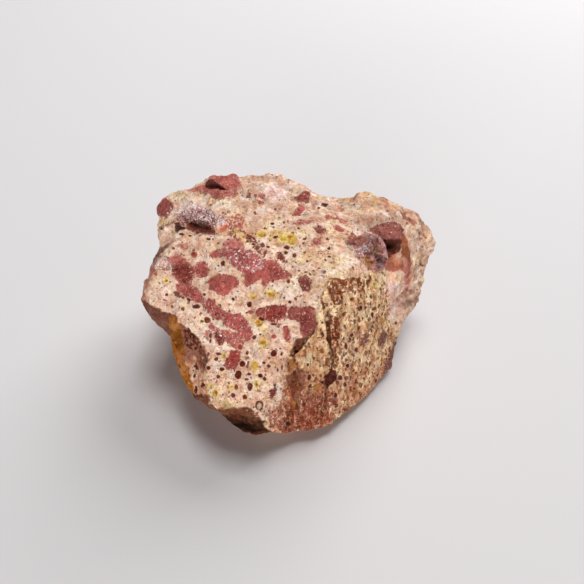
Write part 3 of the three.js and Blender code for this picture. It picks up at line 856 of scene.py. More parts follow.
# How thickly small grains are strewn, 1 being usual: how thickly, how soft its edge is in pixels, outline.
STREWN = [
    (1.7, 8, [
        (190, 350), (225, 345), (262, 342), (292, 350), (286, 440), (258, 437), (206, 402), (188, 380),
    ]),
    (0.55, 10, [
        (236, 160), (440, 180), (450, 300), (400, 330), (392, 262), (350, 222), (300, 214), (250, 208),
    ]),
    (0.2, 4, [(262, 182), (280, 180), (290, 190), (284, 199), (268, 198)]),
    (0.08, 2.5, [
        (366, 230), (376, 225), (392, 221), (404, 228), (412, 244), (415, 264), (412, 290), (402, 300),
        (388, 300), (386, 262), (380, 240),
    ]),
    (0.08, 2, [
        (180, 404), (192, 399), (208, 402), (222, 409.5), (243, 408), (258, 416), (270, 429), (271, 450),
        (190, 450),
    ]),
    (0.4, 3, [(288, 372), (300, 366), (306, 372), (302, 410), (288, 412)]),
    (0.1, 1.5, [
        (317, 326), (314, 334), (305, 344), (299, 352), (292, 357), (291, 349), (295, 336), (307, 329),
    ]),
    (0.1, 1.5, [(330, 369), (337, 370), (338, 376), (333, 384), (327, 390), (321.5, 382)]),
    (0.3, 4, [(388, 286), (404, 290), (408, 306), (400, 330), (388, 322)]),
    (0.35, 3, [(160, 316), (178, 317), (184, 350), (196, 400), (188, 404), (170, 390)]),
    (0.3, 3, [(130, 296), (155, 306), (178, 317), (192, 334), (186, 346), (160, 340), (140, 325)]),
]

# Painted glints, white specks where pale crystals sparkle: how densely, how soft the edge is in pixels, and
# outline.
GLINT_PATCHES = [
    (0.9, 4, [(155, 262), (162, 257), (172, 262), (173, 268), (164, 270), (155, 268)]),
    (0.7, 3, [(256, 258), (263, 259), (266, 266), (259, 269), (252, 274), (249, 268), (256, 264)]),
    (0.32, 5, [(218, 248), (246, 247), (260, 256), (254, 266), (240, 268), (222, 258)]),
    (1.0, 5, [
        (171, 212), (184, 202), (202, 204), (214, 210), (228, 218), (220, 227), (205, 222), (188, 218),
        (180, 219),
    ]),
    (0.5, 6, [(264, 188), (278, 184), (288, 190), (284, 198), (270, 198)]),
    (0.8, 4, [(360, 246), (370, 243), (373, 250), (366, 255), (354, 253), (352, 248)]),
    (0.15, 5, [(186, 368), (199, 362), (206, 380), (200, 388), (190, 384)]),
    (0.12, 10, [(190, 300), (240, 310), (262, 340), (220, 345)]),
]


# ---------------------------------------------------------------- measuring the marks on the skin


def nearest_mark(places, marks):
    """How far places lie outside the nearest mark, in millimetres, with that mark's colour and lift.

    A mark is a function that gives such distances in pixels, a colour and a lift in millimetres. Where marks
    overlap, the later one lends its colour and lift.
    """
    nearest = np.full(len(places), NOWHERE_NEAR)
    tint = np.ones((len(places), 3))
    lift = np.zeros(len(places))
    for depth_of, colour, rise in marks:
        depth = depth_of(places) / PIXELS_PER_MM
        own = (depth < nearest) | (depth < 0)
        nearest = np.minimum(nearest, depth)
        tint[own] = colour
        lift[own] = rise
    return nearest, tint, lift


def clast_marks():
    """Marks for the clasts that can be told apart."""
    rows = CLASTS.values()
    return [(partial(outline_depth, outline=outline), colour, lift) for colour, lift, outline in rows]


def ovals(grains, colour, lift):
    """Marks for grains of one kind, each a little lighter or darker than the next."""
    draw = np.random.default_rng(SEED)
    marks = []
    for column, row, across, tall in grains:
        sizes = {"across": across * PIXELS_PER_MM, "tall": tall * PIXELS_PER_MM}
        shade = draw.uniform(0.75, 1.25)
        marks.append((partial(oval_depth, column=column, row=row, **sizes), colour * shade, lift))
    return marks


# The kinds of round grain that can be told apart: their places, colour and lift in millimetres.
GRAIN_KINDS = [
    (DARK_GRAINS, GRAIN_MAROON, -0.35),
    (RED_GRAINS, BRICK, 0.12),
    (PURPLE_GRAINS, GRAIN_PURPLE, 0.12),
    (BROWN_RINGS, RUST, -0.12),
    (CREAM_CORES, CREAM, 0.2),
    (YELLOW_POCKETS, MUSTARD, -0.6),
]


def grain_marks():
    """Marks for the round grains that can be told apart."""
    return [mark for grains, colour, lift in GRAIN_KINDS for mark in ovals(grains, colour, lift)]


def hollow_depth(places):
    """How far places lie outside the nearest hollow, in pixels."""
    return np.min([outline_depth(places, outline) for _, _, outline in HOLLOWS.values()], axis=0)


def crack_depth(places):
    """How far places lie from the nearest crack's line, in pixels."""
    return np.min([line_depth(places, line, 0) for _, _, line in CRACKS.values()], axis=0)


# ---------------------------------------------------------------- the stone's shape


def shown_share(points, faces):
    """1 where the photograph's camera sees the skin and 0 where it doesn't, with a soft change between."""
    tree = BVHTree.FromPolygons(points.tolist(), faces.tolist())
    normals = normals_of(points, faces)
    shown = (normals * (CAMERA_PLACE - points)).sum(1) > 0
    eye = Vector(CAMERA_PLACE)
    for number in np.flatnonzero(shown):
        start = Vector(points[number] + normals[number] * CLEAR_OF_THE_SKIN)
        shown[number] = tree.ray_cast(start, eye - start)[0] is None
    return smoothed(shown.astype(float), faces, 3)


def rounded_stone():
    """The CAD skin with its facets and their edges rounded a little, as worn rock is."""
    points, faces = cad_skin(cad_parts["bauxite_stone"])
    points, faces = refined(points, faces, lambda places: np.full(len(places), FIRST_EDGE))
    resting = points[:, 2] < 1e-6
    softer = smoothed(points, faces, 4)
    # The face that it rests on stays flat.
    softer[resting, 2] = 0
    return softer, faces


def with_clefts_closed(points, faces):
    """The skin drawn over the narrow clefts in the CAD solid's hidden right side."""
    near = np.zeros(len(points))
    for middle, reach in CLOSED_CLEFTS.values():
        distance = np.linalg.norm(points - middle, axis=1)
        near = np.maximum(near, step(distance, reach, 0.6 * reach))
    share = near * (1 - step(shown_share(points, faces), 0, 0.3))
    return smoothed(points, faces, CLOSING_ROUNDS, 0.5 * share[:, None]), faces


def with_hollows(points, faces):
    """The skin with the holes, clefts and cracks sunk into it."""
    shown = shown_share(points, faces)

    def limit(rows):
        places = in_photo(rows[:, :3])
        near = np.minimum(hollow_depth(places), crack_depth(places)) < NEAR_A_SINKING
        return np.where((rows[:, 3] > BARELY_SHOWN) & near, HOLLOW_EDGE, LEFT_AS_IT_IS)

    rows, faces = refined(np.column_stack([points, shown]), faces, limit)
    points, shown = rows[:, :3], rows[:, 3]
    places = shaky(points)
    sink = np.zeros(len(points))
    for deep, wall, outline in HOLLOWS.values():
        outside = outline_depth(places, outline) / PIXELS_PER_MM
        sink = np.maximum(sink, deep * step(outside, 0.15, -wall))
    for deep, width, line in CRACKS.values():
        outside = line_depth(places, line, 0)
        sink = np.maximum(sink, deep * step(outside, width, 0))
    inward = -smoothed(normals_of(points, faces), faces, 12)
    return points + inward * (sink * step(shown, 0.1, 0.9))[:, None], faces


def fine_skin(points, faces):
    """The skin cut finely enough to carry the marks, and how far each point is shown or nearly so."""
    shown = shown_share(points, faces)
    clasts, grains = clast_marks(), grain_marks()

    def limit(rows):
        places = in_photo(rows[:, :3])
        grain = nearest_mark(places, grains)[0]
        seam = np.min([np.abs(depth_of(places)) for depth_of, _, _ in clasts], axis=0) / PIXELS_PER_MM
        marked = (grain < NEAR_A_MARK) | (seam < NEAR_A_MARK) | (hollow_depth(places) < NEAR_A_HOLLOW)
        seen = np.where(marked, MARK_EDGE, SHOWN_EDGE)
        seen = np.where(crack_depth(places) < NEAR_A_CRACK, CRACK_EDGE, seen)
        unseen = np.where(rows[:, 2] < 0.01, LEFT_AS_IT_IS, HIDDEN_EDGE)
        return np.where(rows[:, 3] > BARELY_SHOWN, seen, unseen)

    rows, faces = refined(np.column_stack([points, shown]), faces, limit)
    return rows[:, :3], faces, step(smoothed(rows[:, 3], faces, 8), BARELY_SHOWN, 0.4)


def scattered(points, normals, hidden, count, smallest, largest, draw):
    """Places on the hidden skin for marks: each one's centre and radius, none of them touching another."""
    chosen = []
    numbers = np.flatnonzero(hidden)
    for _ in range(count * TRIES_FOR_EACH):
        number = numbers[draw.integers(len(numbers))]
        radius = smallest * (largest / smallest) ** (draw.random() ** SMALL_ONES_MORE_COMMON)
        centre = points[number] - normals[number] * radius * SUNK_SHARE
        if all(np.linalg.norm(centre - other) > ROOM_SHARE * (radius + size) for other, size in chosen):
            chosen.append((centre, radius))
        if len(chosen) == count:
            break
    return chosen


def random_direction(draw):
    """A direction of length 1, any as likely as another."""
    direction = draw.normal(size=3)
    return direction / np.linalg.norm(direction)


def block_distance(offset, radius, draw):
    """How far outside an angular block, longer one way than the others, points lie, in millimetres."""
    stretch = random_direction(draw)
    outside = np.full(len(offset), -np.inf)
    for _ in range(BLOCK_SIDES):
        way = random_direction(draw)
        reach = radius * (0.62 + 0.5 * abs(way @ stretch))
        outside = np.maximum(outside, offset @ way - reach)
    return outside


def ball_distance(offset, radius, draw):
    """How far outside a slightly flattened round grain points lie, in millimetres."""
    way = random_direction(draw)
    flatness = 0.25 * draw.random()
    along = offset @ way
    return np.linalg.norm(offset, axis=1) + flatness * np.abs(along) - radius


def add_scattered(marks, points, shown, chosen, distance_of, kinds, draw):
    """Adds scattered marks to the nearest marks known so far."""
    nearest, tint, lift = marks
    chances = np.array([common for _, _, common in kinds], float)
    for centre, radius in chosen:
        near = np.flatnonzero(np.linalg.norm(points - centre, axis=1) < radius * 1.9 + 0.6)
        outside = distance_of(points[near] - centre, radius, draw)
        outside += KEPT_OFF * step(shown[near], BARELY_SHOWN, 0.3)
        colour, rise, _ = kinds[draw.choice(len(kinds), p=chances / chances.sum())]
        shade = draw.uniform(0.85, 1.12)
        closer = outside < nearest[near]
        nearest[near[closer]] = outside[closer]
        tint[near[closer]] = np.array(colour) * shade
        lift[near[closer]] = rise


# The kinds of scattered marks: colour, how far they stand out in millimetres, and how common they are.
CLAST_KINDS = [
    (BRICK, 0.15, 4), (LIGHT_BRICK, 0.05, 3), (PINK_RED, 0.0, 2), (MAROON, 0.25, 2), (PLUM, 0.2, 2),
    (RUST, 0.0, 1),
]
LOOSE_GRAIN_KINDS = [
    (GRAIN_MAROON, -0.3, 3), (BRICK, 0.12, 3), (GRAIN_PURPLE, 0.12, 3), (RUST, -0.12, 2),
    (MUSTARD, -0.4, 2),
]


def marks_on(points, faces, shown):
    """The clasts and the grains on the skin, each as distances, colours and lifts."""
    draw = np.random.default_rng(SEED)
    normals = normals_of(points, faces)
    warp = warped(points, 2.6, 0.9, (11, 12))
    clasts = nearest_mark(in_photo(points) + 0.9 * warp, clast_marks())
    grains = nearest_mark(in_photo(points) + 0.25 * warp, grain_marks())
    for depths in (clasts[0], grains[0]):
        depths += KEPT_OFF * step(shown, 0.5, 0)
    hidden_around = smoothed((shown < BARELY_SHOWN).astype(float), faces, 8)
    far_hidden = (hidden_around > WELL_HIDDEN) & (points[:, 2] > ABOVE_THE_FLOOR)
    chosen = scattered(points, normals, far_hidden, *SCATTERED_CLASTS, draw)
    add_scattered(clasts, points, shown, chosen, block_distance, CLAST_KINDS, draw)
    chosen = scattered(points, normals, far_hidden, *SCATTERED_GRAINS, draw)
    add_scattered(grains, points, shown, chosen, ball_distance, LOOSE_GRAIN_KINDS, draw)
    return clasts, grains


def mottled(tint, points, mottles, where, seed):
    """The tint with mottling over its pale parts, as far as where says."""
    pale = where * step(tint.mean(1), 0.15, 0.4)
    for number, (colour, strength, width, low, high) in enumerate(mottles):
        share = pale * strength * step(ripple(points, width, seed + number), low, high)
        tint = tint + share[:, None] * (colour - tint)
    return tint


def seen_ground(points, places):
    """The ground where the photograph shows it: its colour, the share of mottling and its colour."""
    ragged = 3.2 * ripple(points, 0.9, 27) + 2.5 * ripple(points, 2, 28)
    ground = np.tile(CREAM, (len(points), 1))
    mottle = np.zeros(len(points))
    mottle_tint = np.tile(RUST, (len(points), 1))
    # A broken-up patch goes into the mottling, and any other patch covers the mottling so far.
    for name, (colour, strength, softness, outline) in PATCHES.items():
        outside = outline_depth(places, outline) + ragged * min(1, softness / 3)
        share = strength * step(outside, softness * 0.7, -softness * 0.7)
        if name in BROKEN_UP:
            mottle_tint += (share > mottle)[:, None] * (colour - mottle_tint)
            mottle = np.maximum(mottle, share)
        else:
            mottle *= 1 - share
            ground += share[:, None] * (colour - ground)
    # Cracks get their own brown and painted shade, and the ground around the yellow pockets is stained.
    for _, width, line in CRACKS.values():
        share = 0.95 * step(line_depth(shaky(points), line, width), 0.9, -0.5)
        ground += share[:, None] * (CRACK_BROWN_AND_SHADE - ground)
        mottle *= 1 - share
    pockets = nearest_mark(places, ovals(YELLOW_POCKETS, MUSTARD, 0))[0]
    stained = 0.75 * step(pockets + 0.4 * ripple(points, 1.3, 29), 1.1, 0.2)
    ground += stained[:, None] * (STAIN_YELLOW - ground)
    return ground, mottle, mottle_tint


def unseen_ground(points):
    """The ground's colour on the hidden sides: wide drifts of the rock's own colours over the cream."""
    ground = np.tile(CREAM, (len(points), 1))
    for number, (colour, low, high) in enumerate(DRIFTS):
        share = 0.9 * step(ripple(points, 17 - 2 * number, 31 + number), low, high)
        ground += share[:, None] * (colour - ground)
    return ground


def skin_tint(points, shown, streaky):
    """The colour of the cream ground between the marks, with how much mottling there is and its colour."""
    places = in_photo(points) + 2 * warped(points, 4, 1.5, (21, 22))
    seen, mottle, mottle_tint = seen_ground(points, places)
    unseen = unseen_ground(points)
    blend = step(shown, 0.0, 0.6)
    tint = unseen + blend[:, None] * (seen - unseen)
    tint = mottled(tint, points, MOTTLES, 1 - 0.7 * streaky, 60)
    tint = mottled(tint, points, STREAKY_MOTTLES, streaky, 80)
    far = blend * step(outline_depth(places, FAR_TOP), 3, -9)
    return mottled(tint, points, FAR_MOTTLES, far, 70), mottle * blend, mottle_tint


def glint_share(points, shown):
    """How densely painted glints of pale crystals lie on the skin."""
    places = in_photo(points)
    shares = [dense * step(outline_depth(places, outline), soft, -soft) for dense, soft, outline in GLINT_PATCHES]
    unseen = 0.6 * step(ripple(points, 9, 45), 0.35, 0.6)
    return np.where(shown > 0.3, np.max(shares, axis=0), unseen)


def busyness(points, shown):
    """How thickly the small grains are strewn, 1 being usual."""
    places = in_photo(points)
    seen = np.ones(len(points))
    for busy, soft, outline in STREWN:
        seen += step(outline_depth(places, outline), soft, -soft) * (busy - seen)
    unseen = 0.7 + 0.3 * ripple(points, 12, 47)
    blend = step(shown, 0.0, 0.6)
    return unseen + blend * (seen - unseen)


def streakiness(points, shown):
    """How much the skin has the upright grain of the broken front's right half."""
    seen = step(outline_depth(in_photo(points), STREAKY_FACE), 4, -4)
    unseen = step(ripple(points, 22, 41), 0.05, 0.25)
    blend = step(shown, 0.0, 0.6)
    return unseen + blend * (seen - unseen)


def facets(points, width, slope, draw):
    """How far flat facets stand out that are about width millimetres across, each tilted its own way."""
    low, high = points.min(0), points.max(0)
    count = int(np.prod((high - low) / width)) + 1
    middles = draw.uniform(low, high, (count, 3))
    tilts = draw.normal(0, slope, (count, 3))
    steps = draw.normal(0, 0.2, count)
    own = np.argmin([np.linalg.norm(points - middle, axis=1) for middle in middles], axis=0)
    return ((points - middles[own]) * tilts[own]).sum(1) + steps[own]


def glossiness(points, shown):
    """Where the skin is glassy: 1 on the purple crystal."""
    places = in_photo(points)
    return step(outline_depth(places, CLASTS["purple_crystal"][2]), 0.8, -0.8) * step(shown, 0.3, 0.8)


def lumps(points):
    """How far the lumps and knobs of the far top stand out."""
    places = in_photo(points)
    height = step(outline_depth(places, FAR_TOP), 6, -6) * waves(points, LUMP_WAVES)
    for high, (column, row, across, tall) in KNOBS.values():
        outside = oval_depth(places, column, row, across, tall) / PIXELS_PER_MM
        height += high * step(outside, 0.5, -1.1)
    return height


def relief(points, streaky, glossy, clasts, grains):
    """How far the skin stands out from the rounded stone, in millimetres."""
    inside_clast = step(clasts[0], 0.25, -0.5)
    inside_grain = step(grains[0], 0.05, -0.3)
    groove = step(np.abs(grains[0]), 0.22, 0.0) * (grains[2] > 0)
    height = waves(points, BROAD_WAVES)
    height += waves(points, ROUGH_WAVES) * (1 - 0.5 * inside_clast) * (1 - 0.6 * inside_grain)
    height += streaky * waves(points, UPRIGHT_WAVES)
    height += clasts[2] * inside_clast + lumps(points)
    height += grains[2] * inside_grain - 0.1 * groove
    crystal = glossy > 0
    # The crystal's facets take the place of the rock's relief.
    height[crystal] *= 1 - glossy[crystal]
    draw = np.random.default_rng(SEED)
    glassy = FACET_LIFT + facets(points[crystal] * (1, 1, 0.6), FACET_WIDTH, FACET_SLOPE, draw)
    height[crystal] += glossy[crystal] * glassy
    return height


def stone_mesh():
    """The stone's finished skin. Its points hold what the material needs to know."""
    points, faces = with_hollows(*with_clefts_closed(*rounded_stone()))
    points, faces, shown = fine_skin(points, faces)
    clasts, grains = marks_on(points, faces, shown)
    streaky = streakiness(points, shown)
    glossy = glossiness(points, shown)
    tint, mottle, mottle_tint = skin_tint(points, shown, streaky)
    height = relief(points, streaky, glossy, clasts, grains)
    height *= step(points[:, 2], RELIEF_STARTS_ABOVE_BASE, RELIEF_IS_FULL_AT)
    points = points + smoothed(normals_of(points, faces), faces, 2) * height[:, None]
    # The skin stays within the CAD solid's box.
    points = np.clip(points, *(np.array(CAD_BOX) / MM))
    mesh = bpy.data.meshes.new("bauxite_surface")
    mesh.from_pydata((points * MM).tolist(), [], faces.tolist())
    mesh.shade_smooth()
    numbers = {
        "clast_depth": clasts[0],
        "grain_depth": grains[0],
        "streaky": streaky,
        "painted_glints": glint_share(points, shown),
        "busy": busyness(points, shown),
        "glossy": glossy,
        "mottle": mottle,
    }
    for name, values in numbers.items():
        layer = mesh.attributes.new(name, "FLOAT", "POINT")
        held = np.clip(values, -FURTHEST_HELD, FURTHEST_HELD)
        layer.data.foreach_set("value", held.astype(np.float32))
    colours = {
        "ground_tint": tint,
        "mottle_tint": mottle_tint,
        "clast_tint": clasts[1],
        "grain_tint": grains[1],
    }
    for name, values in colours.items():
        layer = mesh.attributes.new(name, "FLOAT_COLOR", "POINT")
        rows = np.column_stack([np.clip(values, 0, 1), np.ones(len(values))])
        layer.data.foreach_set("color", rows.ravel().astype(np.float32))
    add_bake_map(mesh, points, faces)
    return mesh


def add_bake_map(mesh, points, faces):
    """A map that unfolds the skin from its middle onto a square, as an octahedron unfolds."""
    low, high = np.array(CAD_BOX) / MM
    ways = ((points - MAP_MIDDLE) / (high - low))[faces]
    sideways, upwards = ways[:, :, :2], ways[:, :, 2]
    face_way = ways.mean(1)[:, None]
    # A corner's own side of the middle counts, except on the lower faces, which unfold whole.
    which_way = np.where(face_way[:, :, 2:] < 0, face_way[:, :, :2], sideways)
    signs = np.where(which_way < 0, -1.0, 1.0)
    size = np.maximum((signs * sideways).sum(2) + np.abs(upwards), 1e-9)
    flat = sideways / size[:, :, None]
    folded = signs * (1 - (signs * flat)[:, :, ::-1])
    spots = np.where(upwards[:, :, None] < 0, folded, flat)
    layer = mesh.uv_layers.new(name="OFBake")
    layer.data.foreach_set("uv", np.clip(0.5 + 0.5 * MAP_SHARE * spots, 0, 1).ravel().astype(np.float32))


# ---------------------------------------------------------------- material


class Nodes:
    """Adds nodes to a material. Each call gives the new node's output."""

    def __init__(self, material):
        self.tree = material.node_tree

    def add(self, kind, inputs=(), output=0, **settings):
        node = self.tree.nodes.new(kind)
        for name, value in settings.items():
            setattr(node, name, value)
        for socket, value in dict(inputs).items():
            self.set(node.inputs[socket], value)
        return node.outputs[output]

    def set(self, socket, value):
        """Gives a socket a value, or links it to the output that gives one."""
        if isinstance(value, bpy.types.NodeSocket):
            self.tree.links.new(value, socket)
        elif socket.type == "RGBA":
            socket.default_value = (*value, 1)
        else:
            socket.default_value = value

    def attribute(self, name, output):
        return self.add("ShaderNodeAttribute", output=output, attribute_name=name)

    def maths(self, operation, first, second=0.0):
        return self.add("ShaderNodeMath", {0: first, 1: second}, operation=operation)

    def rise(self, value, low, high, bottom=0.0, top=1.0):
        """bottom below low and top above high, with a smooth change between."""
        ends = {"Value": value, "From Min": low, "From Max": high, "To Min": bottom, "To Max": top}
        if low > high:
            ends.update({"From Min": high, "From Max": low, "To Min": top, "To Max": bottom})
        return self.add("ShaderNodeMapRange", ends, interpolation_type="SMOOTHSTEP")

    def mix(self, share, first, second, blend_type="MIX"):
        sockets = {0: share, 6: first, 7: second}
        return self.add("ShaderNodeMix", sockets, output=2, data_type="RGBA", blend_type=blend_type)

    def mix_number(self, share, first, second):
        return self.add("ShaderNodeMix", {0: share, 2: first, 3: second}, data_type="FLOAT")

    def noise(self, places, per_mm, detail=3.0, roughness=0.55, output="Fac"):
        inputs = {"Vector": places, "Scale": per_mm, "Detail": detail, "Roughness": roughness}
        return self.add("ShaderNodeTexNoise", inputs, output=output)

    def cells(self, places, per_mm, output):
        return self.add("ShaderNodeTexVoronoi", {"Vector": places, "Scale": per_mm}, output=output)

    def lots(self, places, per_mm):
        """Three random numbers for each cell, by the names Red, Green and Blue."""
        colour = self.cells(places, per_mm, "Color")
        return self.add("ShaderNodeSeparateColor", {0: colour}).node.outputs

    def vector(self, operation, first, second):
        return self.add("ShaderNodeVectorMath", {0: first, 1: second}, operation=operation)

    def scaled(self, colour, light):
        return self.add("ShaderNodeVectorMath", {0: colour, "Scale": light}, operation="SCALE")

    def tinted(self, colour, tint, share):
        """The colour multiplied by a tint, as far as share says."""
        return self.mix(share, colour, tint, "MULTIPLY")

    def one_of(self, number, colours):
        """One of the colours, as a number from 0 to 1 picks it."""
        ramp = self.tree.nodes.new("ShaderNodeValToRGB")
        ramp.color_ramp.interpolation = "CONSTANT"
        elements = ramp.color_ramp.elements
        while len(elements) < len(colours):
            elements.new(1)
        for index, colour in enumerate(colours):
            elements[index].position = index / len(colours)
            elements[index].color = (*colour, 1)
        self.set(ramp.inputs[0], number)
        return ramp.outputs[0]


# The colours of the small grains, usually and where streaky, of the pale flecks and of the painted glints.
SPECKLE_COLOURS = [
    linear(120, 58, 38), linear(172, 138, 116), linear(104, 50, 32), linear(176, 148, 104),
    linear(142, 82, 60), linear(164, 126, 108), linear(92, 46, 32), linear(156, 106, 88),
    linear(130, 66, 44), linear(200, 166, 92),
]
STREAK_COLOURS = [
    linear(96, 46, 30), linear(126, 68, 44), linear(108, 56, 44), linear(134, 78, 46),
    linear(86, 42, 28), linear(118, 62, 40), linear(144, 90, 74), linear(166, 118, 56),
    linear(102, 52, 34), linear(124, 68, 58),
]
PALE_FLECK = linear(238, 204, 188)
GLINT_WHITE = linear(254, 248, 250)

# Layers of small grains: cells to a millimetre, and the share that hold one, usually and where streaky.
SPECKLE_LAYERS = [(0.75, 0.55, 0.8), (1.4, 0.5, 0.65), (2.6, 0.35, 0.15)]
# The largest radius of a small grain in cells, usually and where streaky.
BIGGEST_SPECKLE = 0.36
BIGGEST_STREAK = 1.2 * BIGGEST_SPECKLE
# Layers of pale flecks near the clasts' rims and of painted glints, in cells to a millimetre.
FLECK_LAYERS = [1.7, 2.7, 4.4]
GLINT_LAYERS = [1.6, 2.6, 4.2]


class Rock:
    """What all parts of the rock's looks share: places in millimetres, noises and the mesh's values."""

    def __init__(self, nodes):
        whole = nodes.add("ShaderNodeTexCoord", output="Object")
        self.places = nodes.vector("MULTIPLY", whole, (1 / MM, 1 / MM, 1 / MM))
        # Places bent a little, bent more, and shrunk upright, which makes tall and very tall grains.
        self.bent = nodes.vector("ADD", self.places, shift(nodes, self.places, 1.9, 3.0, 0.9))
        self.shaken = nodes.vector("ADD", self.bent, shift(nodes, self.places, 5.0, 2.0, 0.5))
        self.tall = nodes.vector("MULTIPLY", self.bent, (1.0, 1.0, 0.6))
        self.long = nodes.vector("MULTIPLY", self.bent, (1.0, 1.0, 0.16))
        # Wide, medium and fine noise.
        self.broad = nodes.noise(self.places, 0.28, 4.0)
        self.medium = nodes.noise(self.places, 1.1, 4.0, 0.65)
        self.fine = nodes.noise(self.places, 4.5, 3.0, 0.7)
        self.streaky = nodes.attribute("streaky", "Fac")
        self.clast_depth = nodes.attribute("clast_depth", "Fac")
        self.grain_depth = nodes.attribute("grain_depth", "Fac")
        self.busy = nodes.attribute("busy", "Fac")


def shift(nodes, places, per_mm, detail, reach):
    """A smooth random shift of up to about half of reach millimetres each way."""
    wander = nodes.noise(places, per_mm, detail, 0.5, "Color")
    centred = nodes.vector("SUBTRACT", wander, (0.5, 0.5, 0.5))
    return nodes.vector("MULTIPLY", centred, (reach, reach, reach))


def speckles(nodes, places, per_mm, common, biggest, colours=SPECKLE_COLOURS):
    """Small round grains: how much of one is here, its colour, and how much of its pale rim is here.

    common is the share of the cells that hold a grain, and biggest the largest radius in cells.
    """
    distance = nodes.cells(places, per_mm, "Distance")
    lots = nodes.lots(places, per_mm)
    radius = nodes.rise(lots["Red"], 0.0, 1.0, biggest * 0.3, biggest)
    edge = nodes.maths("SUBTRACT", distance, radius)
    present = nodes.maths("LESS_THAN", lots["Green"], common)
    spot = nodes.maths("MULTIPLY", nodes.rise(edge, 0.05, -0.05), present)
    rim = nodes.maths("MULTIPLY", nodes.rise(edge, 0.22, 0.04), present)
    return spot, nodes.one_of(lots["Blue"], colours), rim


def granular(nodes, colour, places, per_mm, spread):
    """The colour, lighter or darker from one tiny grain of rock to the next."""
    light = nodes.rise(nodes.lots(places, per_mm)["Red"], 0.0, 1.0, 1 - spread, 1 + spread * 0.8)
    return nodes.scaled(colour, light)


def ground_colour(nodes, rock):
    """The ground between the marks, with its mottling, its streaks and its tiny grains."""
    colour = nodes.attribute("ground_tint", "Color")
    # Blotches of the mottle's colour, which cover more where the mottle is strong.
    blotches = nodes.noise(rock.tall, 1.1, 5.0, 0.8)
    mottle = nodes.rise(nodes.attribute("mottle", "Fac"), 0.0, 1.0, -0.3, 0.05)
    blotches = nodes.maths("ADD", blotches, mottle)
    blotch = granular(nodes, nodes.attribute("mottle_tint", "Color"), rock.bent, 1.5, 0.3)
    colour = nodes.mix(nodes.rise(blotches, 0.48, 0.54), colour, blotch)
    # Wide and finer changes of shade.
    colour = nodes.tinted(colour, linear(238, 218, 208), nodes.rise(rock.broad, 0.46, 0.62, 0.0, 0.9))
    colour = nodes.tinted(colour, linear(228, 200, 184), nodes.rise(rock.medium, 0.5, 0.64, 0.0, 0.9))
    # Upright streaks and bands, and the tiny grains of the rock.
    streaks = nodes.noise(rock.long, 1.3, 4.0, 0.65)
    bands = nodes.noise(rock.long, 0.5, 3.0)
    for grain, tint in ((streaks, linear(210, 182, 160)), (bands, linear(228, 206, 190))):
        share = nodes.maths("MULTIPLY", rock.streaky, nodes.rise(grain, 0.5, 0.58, 0.0, 0.7))
        colour = nodes.tinted(colour, tint, share)
    colour = granular(nodes, colour, rock.bent, 1.2, 0.12)
    colour = granular(nodes, colour, rock.bent, 2.9, 0.12)
    return nodes.scaled(colour, nodes.rise(rock.fine, 0.3, 0.7, 0.92, 1.1))


def with_speckles(nodes, rock, colour):
    """The colour with small grains strewn over it, and how much of a grain is here."""
    spots = 0.0
    # Round grains lie in clusters. Tall ones, on the streaky face, lie evenly.
    thick = nodes.rise(nodes.noise(rock.places, 0.4, 2.0), 0.35, 0.6, 0.35, 1.0)
    thick = nodes.maths("MULTIPLY", rock.busy, thick)
    tall_thick = nodes.rise(rock.busy, 0.1, 0.8)
    for per_mm, common, tall_common in SPECKLE_LAYERS:
        share = nodes.maths("MULTIPLY", thick, common)
        spot, tint, rim = speckles(nodes, rock.bent, per_mm, share, BIGGEST_SPECKLE)
        share = nodes.maths("MULTIPLY", tall_thick, tall_common)
        tall_spot, tall_tint, tall_rim = speckles(
            nodes, rock.tall, per_mm, share, BIGGEST_STREAK, STREAK_COLOURS
        )
        spot = nodes.mix_number(rock.streaky, spot, tall_spot)
        tint = nodes.mix(rock.streaky, tint, tall_tint)
        rim = nodes.mix_number(rock.streaky, rim, tall_rim)
        colour = nodes.scaled(colour, nodes.rise(rim, 0.0, 1.0, 1.0, 1.12))
        colour = nodes.mix(nodes.maths("MULTIPLY", spot, 0.9), colour, tint)
        spots = nodes.maths("MAXIMUM", spot, spots)
    return colour, spots


